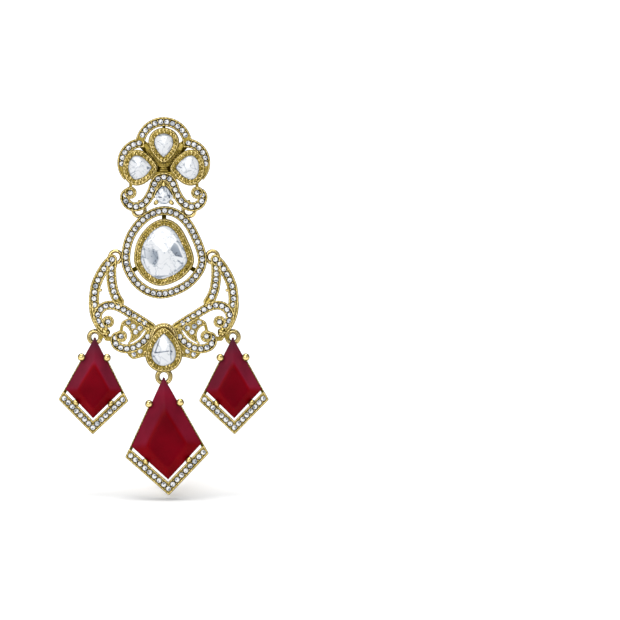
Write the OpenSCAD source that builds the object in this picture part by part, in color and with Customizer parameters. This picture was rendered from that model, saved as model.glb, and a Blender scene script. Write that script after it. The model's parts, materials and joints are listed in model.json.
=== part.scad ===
// Chandbali earring, the left one of a pair: a stud flower over a scroll, a haloed drop stone,
// a pierced crescent round it and three kite-shaped drops.
// Millimetres. +Z is up, the jewelled face looks towards -Y and the ear post points towards +Y.
// The origin is the middle of the post pad's back face, which rests on the ear lobe.
// Depths are measured from the origin towards the front.

/* [Cast metal] */
// Thickness of the metal under a row of stones or a set stone
base_t = 1.2; // [1.1:0.05:1.5]
// Height of the rims beside a row of small stones
rim_h = 0.55; // [0.5:0.05:0.7]
// Width of one rim
rim_w = 0.3; // [0.26:0.02:0.36]
// Height of a bezel wall above the base
bezel_h = 1.5; // [1.2:0.1:1.9]
// Width of a plain strut between two pieces of metal
strut_w = 0.7; // [0.6:0.1:1]

/* [Small stones] */
// Diameter of one small round stone
chip_d = 1.14; // [1.0:0.02:1.2]
// Distance from one small stone to the next along a row
chip_pitch = 1.42; // [1.34:0.02:1.6]
// Depth of the pointed lower half of a small stone
chip_pavilion = 0.42; // [0.3:0.02:0.5]
// Height of the faceted upper half of a small stone
chip_crown = 0.2; // [0.15:0.01:0.3]
// Space between a stone and the metal under it or beside it
seat_gap = 0.06; // [0.05:0.01:0.08]

/* [Ear post] */
// Diameter of the ear post
post_d = 0.9; // [0.8:0.05:1]
// Length of the ear post behind its pad
post_l = 10; // [9:0.5:12]
// Diameter of the round pad at the foot of the post
pad_d = 5; // [4:0.5:6]
// Thickness of the pad
pad_t = 0.6; // [0.5:0.1:1]

/* [Flower] */
// Outer radius of the upper lobe of the border
lobe_r = 6.6; // [6.4:0.1:6.9]
// Height of the upper lobe's centre above the post
lobe_rise = 2.8; // [2.6:0.1:3]
// Outer radius of each side lobe of the border
side_lobe_r = 5.63; // [5.5:0.05:5.8]
// Distance of a side lobe's centre from the middle
side_lobe_out = 5.12; // [5:0.05:5.3]
// Distance of a side lobe's centre below the post
side_lobe_drop = 1.16; // [1:0.05:1.3]
// Width of the jewelled border
border_w = 2.05; // [1.95:0.05:2.2]
// How far below the post the border runs into the side bezels
border_foot = 5; // [4.8:0.1:5.3]
// Width of the upper pear stone
upper_stone_w = 4.4; // [4.2:0.1:4.6]
// Length of the upper pear stone
upper_stone_l = 5.5; // [5.3:0.1:5.7]
// Height of the upper pear stone's middle above the post
upper_stone_rise = 2.85; // [2.7:0.05:3]
// Width of each side pear stone, measured up and down
side_stone_w = 5.6; // [5.3:0.1:5.8]
// Length of each side pear stone, measured to its inner point
side_stone_l = 5.4; // [5.2:0.1:5.6]
// Distance of a side stone's middle from the middle of the flower
side_stone_out = 5.5; // [5.35:0.05:5.7]
// Distance of a side stone's middle below the post
side_stone_drop = 2.3; // [2.2:0.05:2.5]
// Width of the bezel wall round each of the three flower stones
flower_bezel_w = 1.15; // [1.05:0.05:1.25]
// Width of each rope strip in the two valleys of the flower
rope_w = 0.9; // [0.7:0.1:1.1]
// Radius of the hub where the two rope strips meet
hub_r = 1.55; // [1.4:0.05:1.6]

/* [Scroll] */
// Half of the scroll's width at its row of stones
scroll_out = 10; // [9.8:0.1:10.3]
// Height of the scroll
scroll_l = 8.95; // [8.7:0.05:9.2]
// Distance of the scroll's top below the post
scroll_drop = 3.44; // [3.3:0.02:3.6]
// Width of the scroll's band
scroll_w = 2.05; // [1.95:0.05:2.2]
// Width of the small pear stone under the arch
arch_stone_w = 3.8; // [3.6:0.1:4]
// Length of the small pear stone under the arch
arch_stone_l = 4.4; // [4.2:0.1:4.5]

/* [Links] */
// Thickness of the wire of the rings on the halo
ring_wire = 0.84; // [0.76:0.02:0.9]
// Diameter of the hole in the rings on the halo
ring_hole = 1.9; // [1.8:0.05:2.1]
// Thickness of the wire of the loops that pass through the rings
bail_wire = 0.6; // [0.54:0.02:0.66]
// Clearance between a loop and the ring that it holds
link_gap = 0.12; // [0.1:0.01:0.15]
// Space between a ring and the back of the metal in front of it
ring_stand = 0.5; // [0.45:0.05:0.55]
// Distance of the two upper rings from the middle
link_out = 5.8; // [5.6:0.1:6]
// Distance of the upper rings' hole centres below the post
link_drop = 12.2; // [12.1:0.05:12.3]
// Thickness of the wire of the three eyes that hold the drops
eye_wire = 1.06; // [1:0.02:1.1]
// Diameter of the hole in the centre eye
centre_eye_hole = 1.94; // [1.8:0.02:2]
// Diameter of the hole in each side eye
side_eye_hole = 1.58; // [1.5:0.02:1.7]

/* [Halo] */
// Width of the large stone
large_stone_w = 10.7; // [10.3:0.1:11]
// Length of the large stone
large_stone_l = 12.4; // [12.1:0.1:12.7]
// Distance of the large stone's middle below the post
large_stone_drop = 21.95; // [21.9:0.05:22.2]
// Width of the large stone's bezel wall
large_bezel_w = 1.46; // [1.35:0.05:1.6]
// Open space between that bezel and the halo
halo_space = 1.05; // [0.95:0.05:1.2]
// Width of the halo's jewelled band
halo_w = 2; // [1.95:0.05:2.15]

/* [Crescent] */
// Play between the halo and the inner edge of the crescent
crescent_play = 1.4; // [1.2:0.1:1.7]
// Width of the crescent's side, from its inner to its outer edge
crescent_w = 6.2; // [6:0.1:6.5]
// Height of the crescent from its upper stones to the centre stone's bezel
crescent_l = 25.37; // [25:0.1:25.8]
// Rise of the crescent's upper stones above its hinge line
crescent_rise = 0.1; // [0:0.05:0.25]
// Width of the two jewelled arms of each side
arm_w = 2.25; // [2.15:0.05:2.35]
// Width of the jewelled curls below the arms
curl_w = 2; // [1.95:0.05:2.15]
// Width of the plain outer edge
edge_w = 1.1; // [1:0.05:1.3]
// Width of the crescent's centre pear stone
centre_stone_w = 5.63; // [5.4:0.05:5.8]
// Length of the crescent's centre pear stone
centre_stone_l = 7.5; // [7.3:0.05:7.7]
// Width of the centre stone's bezel wall
centre_bezel_w = 1.28; // [1.2:0.04:1.4]

/* [Drops] */
// Width of the centre drop's kite stone
centre_kite_w = 16.3; // [15.8:0.1:16.8]
// Height of the centre kite stone above its side corners
centre_kite_up = 15.9; // [15.5:0.1:16.3]
// Height of the centre kite stone below its side corners
centre_kite_down = 8.05; // [7.8:0.05:8.3]
// Width of a side drop's kite stone
side_kite_w = 13; // [12.6:0.1:13.4]
// Height of a side kite stone above its side corners
side_kite_up = 12.3; // [12:0.1:12.6]
// Height of a side kite stone below its side corners
side_kite_down = 6.6; // [6.4:0.1:6.8]
// Height of the bevelled front of a kite stone
kite_crown = 1.9; // [1.6:0.1:2.3]
// Thickness of a kite stone's straight edge
kite_edge = 0.35; // [0.3:0.05:0.45]
// Depth of a kite stone behind its edge
kite_back = 1; // [0.9:0.05:1.1]
// Space between a drop's loop and the kite stone in front of it
kite_clear = 0.1; // [0.08:0.02:0.2]
// Width of the metal wall behind a kite stone's edges
kite_wall = 0.7; // [0.6:0.05:0.9]
// Open slit between a kite stone and the jewelled bar below it
kite_slit = 0.44; // [0.36:0.02:0.5]
// How much wider that slit is at the stone's side corners
kite_spread = 0.2; // [0.1:0.05:0.3]
// Width of the thin wall outside a kite stone's upper edges
kite_lip = 0.26; // [0.2:0.02:0.34]
// Width of the jewelled bar below a kite stone
bar_w = 2.12; // [2:0.02:2.3]
// Plain end of that bar, up to its first stone
bar_end = 1; // [0.9:0.1:1.3]
// Radius of the ball on each upper prong of a drop
prong_ball_r = 0.8; // [0.65:0.05:0.9]
// Lean of the left drop as it hangs, in degrees, with its foot to the left below zero
lean_left = -1.2; // [-2:0.1:2]
// Lean of the centre drop as it hangs, in degrees
lean_centre = 2.6; // [0:0.1:3]
// Lean of the right drop as it hangs, in degrees
lean_right = 1.1; // [-2:0.1:2]

/* [Hidden] */

$fn = 48;
GOLD = "goldenrod";
DIAMOND = "aliceblue";
RUBY = "darkred";

// A skin thickness that keeps stacked walls from sharing a face
skin = 0.03;
// Width of the line that a band is grown from
hair = 0.02;
// Longer than any cut has to reach
beyond = 30;

// Rings, loops and the depths that follow from them
ring_r = (ring_hole + ring_wire) / 2;
centre_eye_r = (centre_eye_hole + eye_wire) / 2;
side_eye_r = (side_eye_hole + eye_wire) / 2;
ring_bail_r = ring_wire / 2 + link_gap + bail_wire / 2;
eye_bail_r = eye_wire / 2 + link_gap + bail_wire / 2;
top_back = pad_t;
ring_depth = top_back - ring_wire / 2 - ring_stand;
halo_back = ring_depth - base_t / 2;
crescent_back = ring_depth + ring_wire / 2 + ring_stand;
eye_depth = crescent_back + base_t / 2;
kite_depth = eye_depth + eye_bail_r + bail_wire / 2 + kite_clear;
upper_hinge_z = ring_r - link_drop;

// Halo sizes, counted outwards from the large stone's edge
halo_inner = large_bezel_w + halo_space;
halo_outer = halo_inner + halo_w;
lug_z = -large_stone_drop - large_stone_l * 0.085;
lower_hinge_z = lug_z - ring_r;

// Crescent sizes
crescent_in = large_stone_w / 2 + halo_outer + crescent_play;
crescent_top = lower_hinge_z + crescent_rise;
lug_out = crescent_in;
centre_stone_z = crescent_top - crescent_l * 0.8;
centre_eye_z = centre_stone_z - centre_stone_l / 2 - centre_bezel_w - centre_eye_r * 0.8;

// Curves. A point is [x, z] as the wearer's front shows it.
function mix(a, b, t) = a + (b - a) * t;
function catmull(a, b, c, d, t) =
    (2 * b + (c - a) * t + (2 * a - 5 * b + 4 * c - d) * t * t
     + (3 * b - a - 3 * c + d) * t * t * t) / 2;
function smooth(p, n = 2) = let (m = len(p)) [
    for (i = [0 : m - 2]) for (k = [0 : n - 1])
        catmull(p[max(i - 1, 0)], p[i], p[i + 1], p[min(i + 2, m - 1)], k / n),
    p[m - 1]];
function smooth_loop(p, n = 3) = let (m = len(p)) [
    for (i = [0 : m - 1]) for (k = [0 : n - 1])
        catmull(p[(i + m - 1) % m], p[i], p[(i + 1) % m], p[(i + 2) % m], k / n)];
function reversed(p) = [for (i = [len(p) - 1 : -1 : 0]) p[i]];
function mirrored(p) = [for (q = p) [-q[0], q[1]]];
function shifted(p, by) = [for (q = p) q + by];
function turned(p, a) = [
    for (q = p) [q[0] * cos(a) - q[1] * sin(a), q[0] * sin(a) + q[1] * cos(a)]];
function unit(v) = v / norm(v);
function left_of(v) = [-v[1], v[0]];
function heading(p, i) = unit(p[min(i + 1, len(p) - 1)] - p[max(i - 1, 0)]);
// An open line moved sideways, to its left for a positive distance
function beside(p, d) = [for (i = [0 : len(p) - 1]) p[i] + d * left_of(heading(p, i))];
// A closed line, run anticlockwise, moved outwards
function grown(p, d) = let (m = len(p))
    [for (i = [0 : m - 1]) p[i] - d * left_of(unit(p[(i + 1) % m] - p[(i + m - 1) % m]))];
function arc(c, r, from, to, n = 24) = [
    for (i = [0 : n]) let (a = mix(from, to, i / n)) c + r * [cos(a), sin(a)]];

// Places spaced evenly along a line
function runs(p) = let (last = len(p) - 1) [
    for (i = 0, s = 0; i <= last; s = s + (i < last ? norm(p[i + 1] - p[i]) : 0), i = i + 1) s];
function at_run(p, c, s) = let (i = max([for (k = [0 : len(c) - 2]) if (c[k] <= s) k]))
    mix(p[i], p[i + 1], (s - c[i]) / (c[i + 1] - c[i]));
function row(p) = let (c = runs(p), whole = c[len(c) - 1], n = max(1, round(whole / chip_pitch)))
    [for (k = [0 : n]) at_run(p, c, whole * k / n)];
function row_loop(p) = let (q = concat(p, [p[0]]), c = runs(q), whole = c[len(c) - 1],
    n = round(whole / chip_pitch)) [for (k = [0 : n - 1]) at_run(q, c, whole * k / n)];

// A pear: width as sin(t) times a power of sin(t/2), length as cos(t); its point is at +y
pear_power = 0.8;
function pear(w, l, n = 32) = let (
    m = pear_power,
    peak = 2 * sqrt(1 / (2 + m)) * pow((1 + m) / (2 + m), (1 + m) / 2))
    [for (i = [0 : n - 1]) let (t = 360 * i / n)
        [-w / 2 * sin(t) * pow(abs(sin(t / 2)), m) / peak, l / 2 * cos(t)]];

// Set stones: outline, place and turn of each pear
function placed(w, l, at, turn) = shifted(turned(pear(w, l), turn), at);
UPPER = placed(upper_stone_w, upper_stone_l, [0, upper_stone_rise], 180);
LEFT = placed(side_stone_w, side_stone_l, [-side_stone_out, -side_stone_drop], -90);
RIGHT = placed(side_stone_w, side_stone_l, [side_stone_out, -side_stone_drop], 90);
arch_stone_z = -scroll_drop - scroll_l * 0.58;
ARCH = placed(arch_stone_w, arch_stone_l, [0, arch_stone_z], 0);
CENTRE = placed(centre_stone_w, centre_stone_l, [0, centre_stone_z], 0);

// The large stone's egg, as [share of half the width, share of half the length], anticlockwise
LARGE_SHARES = [
    [0.03, 1], [-0.47, 0.8], [-0.87, 0.34], [-1, -0.16], [-0.94, -0.45], [-0.64, -0.81],
    [-0.14, -1], [0.55, -0.79], [0.95, -0.44], [1, -0.2], [0.81, 0.26], [0.47, 0.79]];
LARGE = smooth_loop([for (s = LARGE_SHARES)
    [s[0] * large_stone_w / 2, s[1] * large_stone_l / 2 - large_stone_drop]]);

// Rows of the border, one for each lobe: centre, radius of the row, first and last angle
side_centre = [side_lobe_out, -side_lobe_drop];
BORDER_ROWS = [
    arc([-side_centre[0], side_centre[1]], side_lobe_r - border_w / 2, 183, 97),
    arc([0, lobe_rise], lobe_r - border_w / 2, 154, 26),
    arc(side_centre, side_lobe_r - border_w / 2, 83, -3)];

// Right half of the scroll, as [share of its half width, share of its height]
SCROLL_SHARES = [
    [0, 0.117], [0.128, 0.156], [0.214, 0.286], [0.263, 0.442], [0.319, 0.582], [0.398, 0.722],
    [0.5, 0.831], [0.626, 0.886], [0.76, 0.87], [0.867, 0.772], [0.907, 0.629], [0.856, 0.53],
    [0.774, 0.522]];
SCROLL_HALF = [for (s = SCROLL_SHARES) [s[0] * scroll_out, -scroll_drop - s[1] * scroll_l]];
SCROLL = smooth(concat(
    reversed(mirrored(SCROLL_HALF)), [for (i = [1 : len(SCROLL_HALF) - 1]) SCROLL_HALF[i]]));

// Right side of the crescent, as [share, share of its height]. A first share up to 1 is of the
// inner half width, and past 1 it runs across the crescent's side.
ARM_OUTER = [
    [1.12, -0.027], [1.28, 0.012], [1.41, 0.054], [1.54, 0.106], [1.65, 0.161], [1.74, 0.221],
    [1.78, 0.28], [1.8, 0.335], [1.78, 0.39]];
ARM_INNER = [
    [1.12, -0.027], [1.15, 0.042], [1.15, 0.102], [1.14, 0.157], [1.11, 0.212], [1.06, 0.265],
    [0.98, 0.322], [0.92, 0.363]];
BIG_CURL = [
    [0.26, 0.592], [0.39, 0.554], [0.54, 0.512], [0.66, 0.481], [0.76, 0.451], [0.87, 0.423],
    [0.98, 0.401], [1.19, 0.392], [1.41, 0.404], [1.58, 0.439], [1.67, 0.488], [1.63, 0.54],
    [1.47, 0.575], [1.27, 0.544]];
LOW_CURL = [
    [0.88, 0.677], [0.98, 0.68], [1.02, 0.716], [0.97, 0.759], [0.87, 0.785], [0.75, 0.792],
    [0.63, 0.784], [0.51, 0.756], [0.41, 0.722], [0.33, 0.679], [0.28, 0.633]];
OUTER_EDGE = [
    [1.91, 0.372], [1.88, 0.455], [1.78, 0.533], [1.62, 0.604], [1.44, 0.656], [1.32, 0.693]];
FAN = [
    [0.88, 0.574], [0.85, 0.542], [0.77, 0.523], [0.64, 0.5], [0.46, 0.519], [0.3, 0.578],
    [0.33, 0.603], [0.43, 0.636], [0.49, 0.675], [0.58, 0.709], [0.69, 0.737], [0.73, 0.746],
    [0.69, 0.702], [0.68, 0.656], [0.72, 0.61], [0.79, 0.583]];
FAN_STONES = [[0.73, 0.549], [0.63, 0.586], [0.58, 0.638], [0.49, 0.603]];
FOOT_STONES = [[0.62, 0.842], [0.49, 0.812]];
FOOT_FILL = [0.37, 0.755];
FOOT = [[0.68, 0.812], [0.62, 0.846], [0.49, 0.832], [0.36, 0.825]];
LEAF_LINK = [[1.36, 0.643], [1.32, 0.698], [1.11, 0.702]];
FAN_STEM = [[0.88, 0.62], [0.86, 0.578]];
SIDE_EYE = [1.77, 0.684];
LEAF_KNOT = [1.36, 0.64];
function crescent_at(s) = [
    s[0] <= 1 ? s[0] * crescent_in : crescent_in + (s[0] - 1) * crescent_w,
    crescent_top - s[1] * crescent_l];
function crescent_line(t) = [for (s = t) crescent_at(s)];
side_eye = crescent_at(SIDE_EYE);

// A drop: place of its hinge, lean, and the three sizes of its kite stone
function drop_spec(side) =
    side == 0 ? [[0, centre_eye_z - centre_eye_r], lean_centre,
                 centre_kite_w, centre_kite_up, centre_kite_down, centre_eye_r]
    : [[side * side_eye[0], side_eye[1] - side_eye_r], side < 0 ? lean_left : lean_right,
       side_kite_w, side_kite_up, side_kite_down, side_eye_r];
// Kite with its hinge at the origin and its apex at the eye's middle: apex, right, bottom, left
function kite(s) = [
    [0, s[5]], [s[2] / 2, s[5] - s[3]], [0, s[5] - s[3] - s[4]], [-s[2] / 2, s[5] - s[3]]];
function apex_sine(s) = s[2] / 2 / norm([s[2] / 2, s[3]]);
// Every kite has an inner circle, so a scaling about its centre keeps its sides parallel
function kite_inner_r(s) =
    s[2] * (s[3] + s[4]) / 2 / (norm([s[2] / 2, s[3]]) + norm([s[2] / 2, s[4]]));
function kite_centre(s) = [0, s[5] - kite_inner_r(s) / apex_sine(s)];
function kite_inset(s, d) = let (c = kite_centre(s), f = 1 - d / kite_inner_r(s))
    [for (p = kite(s)) c + (p - c) * f];
// The wall closes in a yoke below the eye's wire, and the back of the stone stands clear of both
yoke_top = -eye_wire / 2 - 2 * link_gap;
yoke_foot = yoke_top - strut_w;
function kite_plug(s) =
    kite_inset(s, max(kite_wall + 2 * seat_gap, (s[5] + seat_gap - yoke_foot) * apex_sine(s)));
// The flat front of the stone, as shares: half width, drop of its apex, rise of its other corners
TABLE_WIDTH = 0.74;
TABLE_APEX = 0.49;
TABLE_CORNER = 0.065;
TABLE_FOOT = 0.28;
function kite_table(s) = [
    [0, s[5] - TABLE_APEX * s[3]],
    [TABLE_WIDTH * s[2] / 2, s[5] - s[3] * (1 - TABLE_CORNER)],
    [0, s[5] - s[3] - s[4] * (1 - TABLE_FOOT)],
    [-TABLE_WIDTH * s[2] / 2, s[5] - s[3] * (1 - TABLE_CORNER)]];
// Where the prongs stand along the upper and the lower sides of a kite
PRONG_SHARES = [0.4, 0.42];

// Solids
// Gives a flat shape its thickness between two depths
module slab(from, to) {
    translate([0, -from, 0]) rotate([90, 0, 0])
        linear_extrude(to - from) offset(delta = 0) children();
}

module band(line, w) {
    offset(r = (w - hair) / 2)
        polygon(concat(beside(line, hair / 2), reversed(beside(line, -hair / 2))));
}

module bar(a, b, w) {
    band([a, mix(a, b, 0.5), b], w);
}

module both_sides() {
    for (s = [0, 1]) mirror([s, 0, 0]) children();
}

// A ring that faces the front
module ring(at, r, wire, depth) {
    translate([at[0], -depth, at[1]]) rotate([90, 0, 0])
        rotate_extrude() translate([r, 0]) circle(d = wire);
}

// A loop that stands square to the front, round a ring's wire
module loop(at, r, wire, depth) {
    translate([at[0], -depth, at[1]]) rotate([0, 90, 0])
        rotate_extrude() translate([r, 0]) circle(d = wire);
}

module ball(at, r, depth) {
    translate([at[0], -depth, at[1]]) sphere(r = r);
}

module prong(at, r, head_r, from, to) {
    translate([at[0], -from, at[1]]) rotate([90, 0, 0]) cylinder(r = r, h = to - from);
    ball(at, head_r, to);
}

// A closed solid through outlines of equal length, each with its own depth
module stack(outlines, depths) {
    n = len(outlines[0]);
    last = len(outlines) - 1;
    polyhedron(
        points = [for (k = [0 : last]) for (p = outlines[k]) [p[0], -depths[k], p[1]]],
        faces = concat(
            [[for (i = [0 : n - 1]) i]],
            [for (k = [0 : last - 1]) for (i = [0 : n - 1])
                let (j = (i + 1) % n, a = k * n + i, b = k * n + j, c = a + n, d = b + n)
                for (f = i < n / 2 ? [[a, d, b], [a, c, d]] : [[a, c, b], [b, c, d]]) f],
            [[for (i = [n - 1 : -1 : 0]) last * n + i]]));
}

// A small round stone: table, eight crown and eight pavilion facets, point towards the back
chip_sides = 8;
chip_table = 0.56;
module chips(places, back) {
    floor_depth = back + base_t + seat_gap;
    girdle = floor_depth + chip_pavilion;
    r = chip_d / 2;
    n = chip_sides;
    color(DIAMOND) for (p = places) translate([p[0], 0, p[1]]) polyhedron(
        points = concat(
            [[0, -floor_depth, 0]],
            [for (i = [0 : n - 1]) [r * cos(360 * i / n), -girdle, r * sin(360 * i / n)]],
            [for (i = [0 : n - 1]) let (a = 360 * (i + 0.5) / n)
                [r * chip_table * cos(a), -girdle - chip_crown, r * chip_table * sin(a)]]),
        faces = concat(
            [for (i = [0 : n - 1]) [0, 1 + i, 1 + (i + 1) % n]],
            [for (i = [0 : n - 1]) [1 + i, 1 + n + i, 1 + (i + 1) % n]],
            [for (i = [0 : n - 1]) [1 + (i + 1) % n, 1 + n + i, 1 + n + (i + 1) % n]],
            [[for (i = [n - 1 : -1 : 0]) 1 + n + i]]));
}

// A flat-backed set stone with a rim, a row of sloping facets and a table off its middle
stone_sides = 16;
STONE_RINGS = [[1, 0.15], [1, 0.62], [0.66, 0.9], [0.3, 1]];
module set_stone(outline, middle, back, rise) {
    step = len(outline) / stone_sides;
    facets = [for (i = [0 : stone_sides - 1]) outline[floor(i * step)]];
    low = back + base_t + seat_gap;
    color(DIAMOND) stack(
        [for (k = STONE_RINGS) [for (p = facets) middle + (p - middle) * k[0]]],
        [for (k = STONE_RINGS) low + rise * (k[1] - STONE_RINGS[0][1])]);
}

// Flower, scroll and small arch setting, cast as one piece
module trefoil(grow) {
    translate([0, lobe_rise]) circle(r = lobe_r + grow);
    both_sides() translate(side_centre) circle(r = side_lobe_r + grow);
}

module border_shape() {
    intersection() {
        difference() {
            trefoil(0);
            trefoil(-border_w);
        }
        translate([-beyond / 2, -border_foot]) square(beyond);
    }
}

module flower_bezels(grow) {
    for (stone = [UPPER, LEFT, RIGHT]) offset(r = grow) polygon(stone);
}

valley_top = [side_lobe_out - rope_w, lobe_rise];
valley_foot = [0, -side_stone_drop];
scroll_end_r = scroll_w * 0.68;
scroll_post_out = scroll_out * 0.77;
gallery_in = 0.45;
claw_r = bail_wire * 0.75;
ARCH_CLAWS = [for (i = [0, 12, 20]) let (p = ARCH[i])
    p + unit(p - [0, arch_stone_z]) * (claw_r + seat_gap)];
module top_shape() {
    border_shape();
    flower_bezels(flower_bezel_w);
    translate(valley_foot) circle(r = hub_r);
    both_sides() bar(valley_foot, valley_top, rope_w * 2);
    band(SCROLL, scroll_w);
    both_sides() {
        translate(SCROLL_HALF[len(SCROLL_HALF) - 1]) circle(r = scroll_end_r);
        bar([scroll_post_out, -border_foot + strut_w],
            [scroll_post_out, -scroll_drop - scroll_l / 2], strut_w);
    }
    offset(delta = -gallery_in) polygon(ARCH);
    for (q = ARCH_CLAWS) bar([0, arch_stone_z], q, strut_w);
    arch = [for (i = [0 : 4]) SCROLL_HALF[i]];
    polygon(concat(arch, reversed(mirrored(arch))));
}

module top_channels() {
    for (line = BORDER_ROWS) band(line, chip_d + 2 * seat_gap);
    band(SCROLL, scroll_w - 2 * rim_w);
    offset(delta = rim_w) polygon(ARCH);
    flower_bezels(seat_gap + skin);
}

module top_frame() {
    front = top_back + base_t;
    color(GOLD) {
        difference() {
            slab(top_back, front + rim_h) top_shape();
            slab(front, front + rim_h + skin) top_channels();
        }
        slab(top_back + base_t / 2, front + bezel_h) difference() {
            flower_bezels(flower_bezel_w - skin);
            flower_bezels(seat_gap);
        }
        slab(top_back + skin, top_back + base_t / 2)
            bar([0, lobe_rise + lobe_r - border_w / 2],
                [0, upper_stone_rise + upper_stone_l / 2], strut_w);
        both_sides() {
            slab(top_back + base_t / 2, front + rim_h * 2)
                bar(valley_foot, valley_top, rope_w - 2 * skin);
            loop([link_out, upper_hinge_z], ring_bail_r, bail_wire, ring_depth);
        }
        for (q = ARCH_CLAWS)
            prong(q, claw_r * 0.85, claw_r, top_back + base_t / 2, front + rim_h + chip_crown);
    }
}

module ear_post() {
    color(GOLD) rotate([90, 0, 0]) {
        cylinder(d = pad_d, h = pad_t);
        translate([0, 0, post_d / 2 - post_l]) {
            cylinder(d = post_d, h = post_l - post_d / 2 + pad_t / 2);
            sphere(d = post_d);
        }
    }
}

module border_pave() {
    chips([for (line = BORDER_ROWS) each row(line)], top_back);
}

module scroll_pave() {
    chips(row(SCROLL), top_back);
}

flower_stone_rise = bezel_h * 1.1;
side_table_out = side_stone_out + side_stone_l * 0.05;
module polki_upper() {
    set_stone(UPPER, [0, upper_stone_rise + upper_stone_l * 0.1], top_back, flower_stone_rise);
}

module polki_left() {
    set_stone(LEFT, [-side_table_out, -side_stone_drop], top_back, flower_stone_rise);
}

module polki_right() {
    set_stone(RIGHT, [side_table_out, -side_stone_drop], top_back, flower_stone_rise);
}

module arch_stone() {
    set_stone(ARCH, [0, arch_stone_z - arch_stone_l * 0.1], top_back, flower_stone_rise);
}

// Large stone with its bezel, halo, two upper rings and two side lugs
HALO_STRUTS = [90, 210, 330];
module halo_shape() {
    difference() {
        polygon(grown(LARGE, halo_outer));
        polygon(grown(LARGE, halo_inner));
    }
    polygon(grown(LARGE, large_bezel_w));
}

halo_strut_w = strut_w * 1.5;
module halo_struts() {
    intersection() {
        polygon(grown(LARGE, halo_inner + halo_w / 2));
        for (a = HALO_STRUTS) translate([0, -large_stone_drop]) rotate(a)
            translate([large_stone_w / 2, -halo_strut_w / 2])
                square([large_stone_w / 2, halo_strut_w]);
    }
}

module halo_frame() {
    front = halo_back + base_t;
    color(GOLD) {
        difference() {
            slab(halo_back, front + rim_h) halo_shape();
            slab(front, front + rim_h + skin) {
                difference() {
                    polygon(grown(LARGE, halo_outer - rim_w));
                    polygon(grown(LARGE, halo_inner + rim_w));
                }
                polygon(grown(LARGE, seat_gap + skin));
            }
        }
        slab(halo_back + skin, halo_back + base_t / 2) halo_struts();
        slab(halo_back + base_t / 2, front + bezel_h) difference() {
            polygon(grown(LARGE, large_bezel_w - skin));
            polygon(grown(LARGE, seat_gap));
        }
        both_sides() {
            ring([link_out, -link_drop], ring_r, ring_wire, ring_depth);
            ring([lug_out, lug_z], ring_r, ring_wire, ring_depth);
            slab(ring_depth - ring_wire / 2, ring_depth + ring_wire / 2)
                bar([lug_out - ring_r - ring_wire, lug_z], [lug_out - ring_r, lug_z], ring_wire);
        }
    }
}

module halo_pave() {
    chips(row_loop(grown(LARGE, halo_inner + halo_w / 2)), halo_back);
}

module polki_large() {
    set_stone(LARGE, [0, -large_stone_drop], halo_back, bezel_h * 1.3);
}

// Pierced crescent with the centre stone's bezel, three eyes and two loops round the lugs
curl_ball_r = curl_w * 0.68;
knot_r = edge_w * 0.75;
hood_r = centre_bezel_w + centre_stone_w * 0.37;
hood_z = centre_stone_z + centre_stone_l * 0.375;
module crescent_side() {
    band(smooth(crescent_line(ARM_OUTER)), arm_w);
    band(smooth(crescent_line(ARM_INNER)), arm_w);
    band(smooth(crescent_line(BIG_CURL)), curl_w);
    band(smooth(crescent_line(LOW_CURL)), curl_w);
    band(smooth(crescent_line(OUTER_EDGE)), edge_w);
    band(smooth(crescent_line(FOOT)), curl_w);
    band(crescent_line(LEAF_LINK), edge_w);
    band(crescent_line([FAN_STEM[0], mix(FAN_STEM[0], FAN_STEM[1], 0.5), FAN_STEM[1]]), strut_w);
    polygon(smooth_loop(crescent_line(FAN), 2));
    translate(crescent_at(BIG_CURL[len(BIG_CURL) - 1])) circle(r = curl_ball_r);
    translate(crescent_at(LOW_CURL[0])) circle(r = curl_ball_r);
    bar(crescent_at(LEAF_KNOT), side_eye - [side_eye_r, 0], edge_w);
    translate(crescent_at(FOOT_FILL)) circle(d = curl_w);
}

// Narrow chinks between neighbouring bands are cast shut
chink = 0.1;
module crescent_shape() {
    offset(delta = -chink) offset(delta = chink) {
        both_sides() crescent_side();
        offset(r = centre_bezel_w) polygon(CENTRE);
        translate([0, hood_z]) circle(r = hood_r);
    }
}

// Lines that carry stones. The inner arm's row starts below the tip and ends above the curl.
CRESCENT_ROWS = [ARM_OUTER,
    concat([[1.15, 0.052]], [for (i = [2 : 5]) ARM_INNER[i]], [[0.99, 0.318]]),
    [for (i = [1 : len(BIG_CURL) - 1]) BIG_CURL[i]],
    [for (i = [0 : len(LOW_CURL) - 2]) LOW_CURL[i]]];

module crescent_channels() {
    both_sides() {
        band(smooth(crescent_line(ARM_OUTER)), chip_d + 2 * seat_gap);
        band(smooth(crescent_line(ARM_INNER)), chip_d + 2 * seat_gap);
        band(smooth(crescent_line(BIG_CURL)), chip_d + 2 * seat_gap);
        band(smooth(crescent_line(LOW_CURL)), chip_d + 2 * seat_gap);
        for (s = concat(FAN_STONES, FOOT_STONES))
            translate(crescent_at(s)) circle(d = chip_d + 2 * seat_gap);
    }
    offset(r = seat_gap + skin) polygon(CENTRE);
}

module crescent_frame() {
    front = crescent_back + base_t;
    color(GOLD) {
        difference() {
            slab(crescent_back, front + rim_h) crescent_shape();
            slab(front, front + rim_h + skin) crescent_channels();
        }
        slab(crescent_back + base_t / 2, front + bezel_h) difference() {
            offset(r = centre_bezel_w - skin) polygon(CENTRE);
            offset(r = seat_gap) polygon(CENTRE);
        }
        ring([0, centre_eye_z], centre_eye_r, eye_wire, eye_depth);
        both_sides() {
            ring(side_eye, side_eye_r, eye_wire, eye_depth);
            ball(crescent_at(LEAF_KNOT), knot_r, front + rim_h / 2);
            loop([lug_out, lower_hinge_z], ring_bail_r, bail_wire, ring_depth);
        }
    }
}

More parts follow.
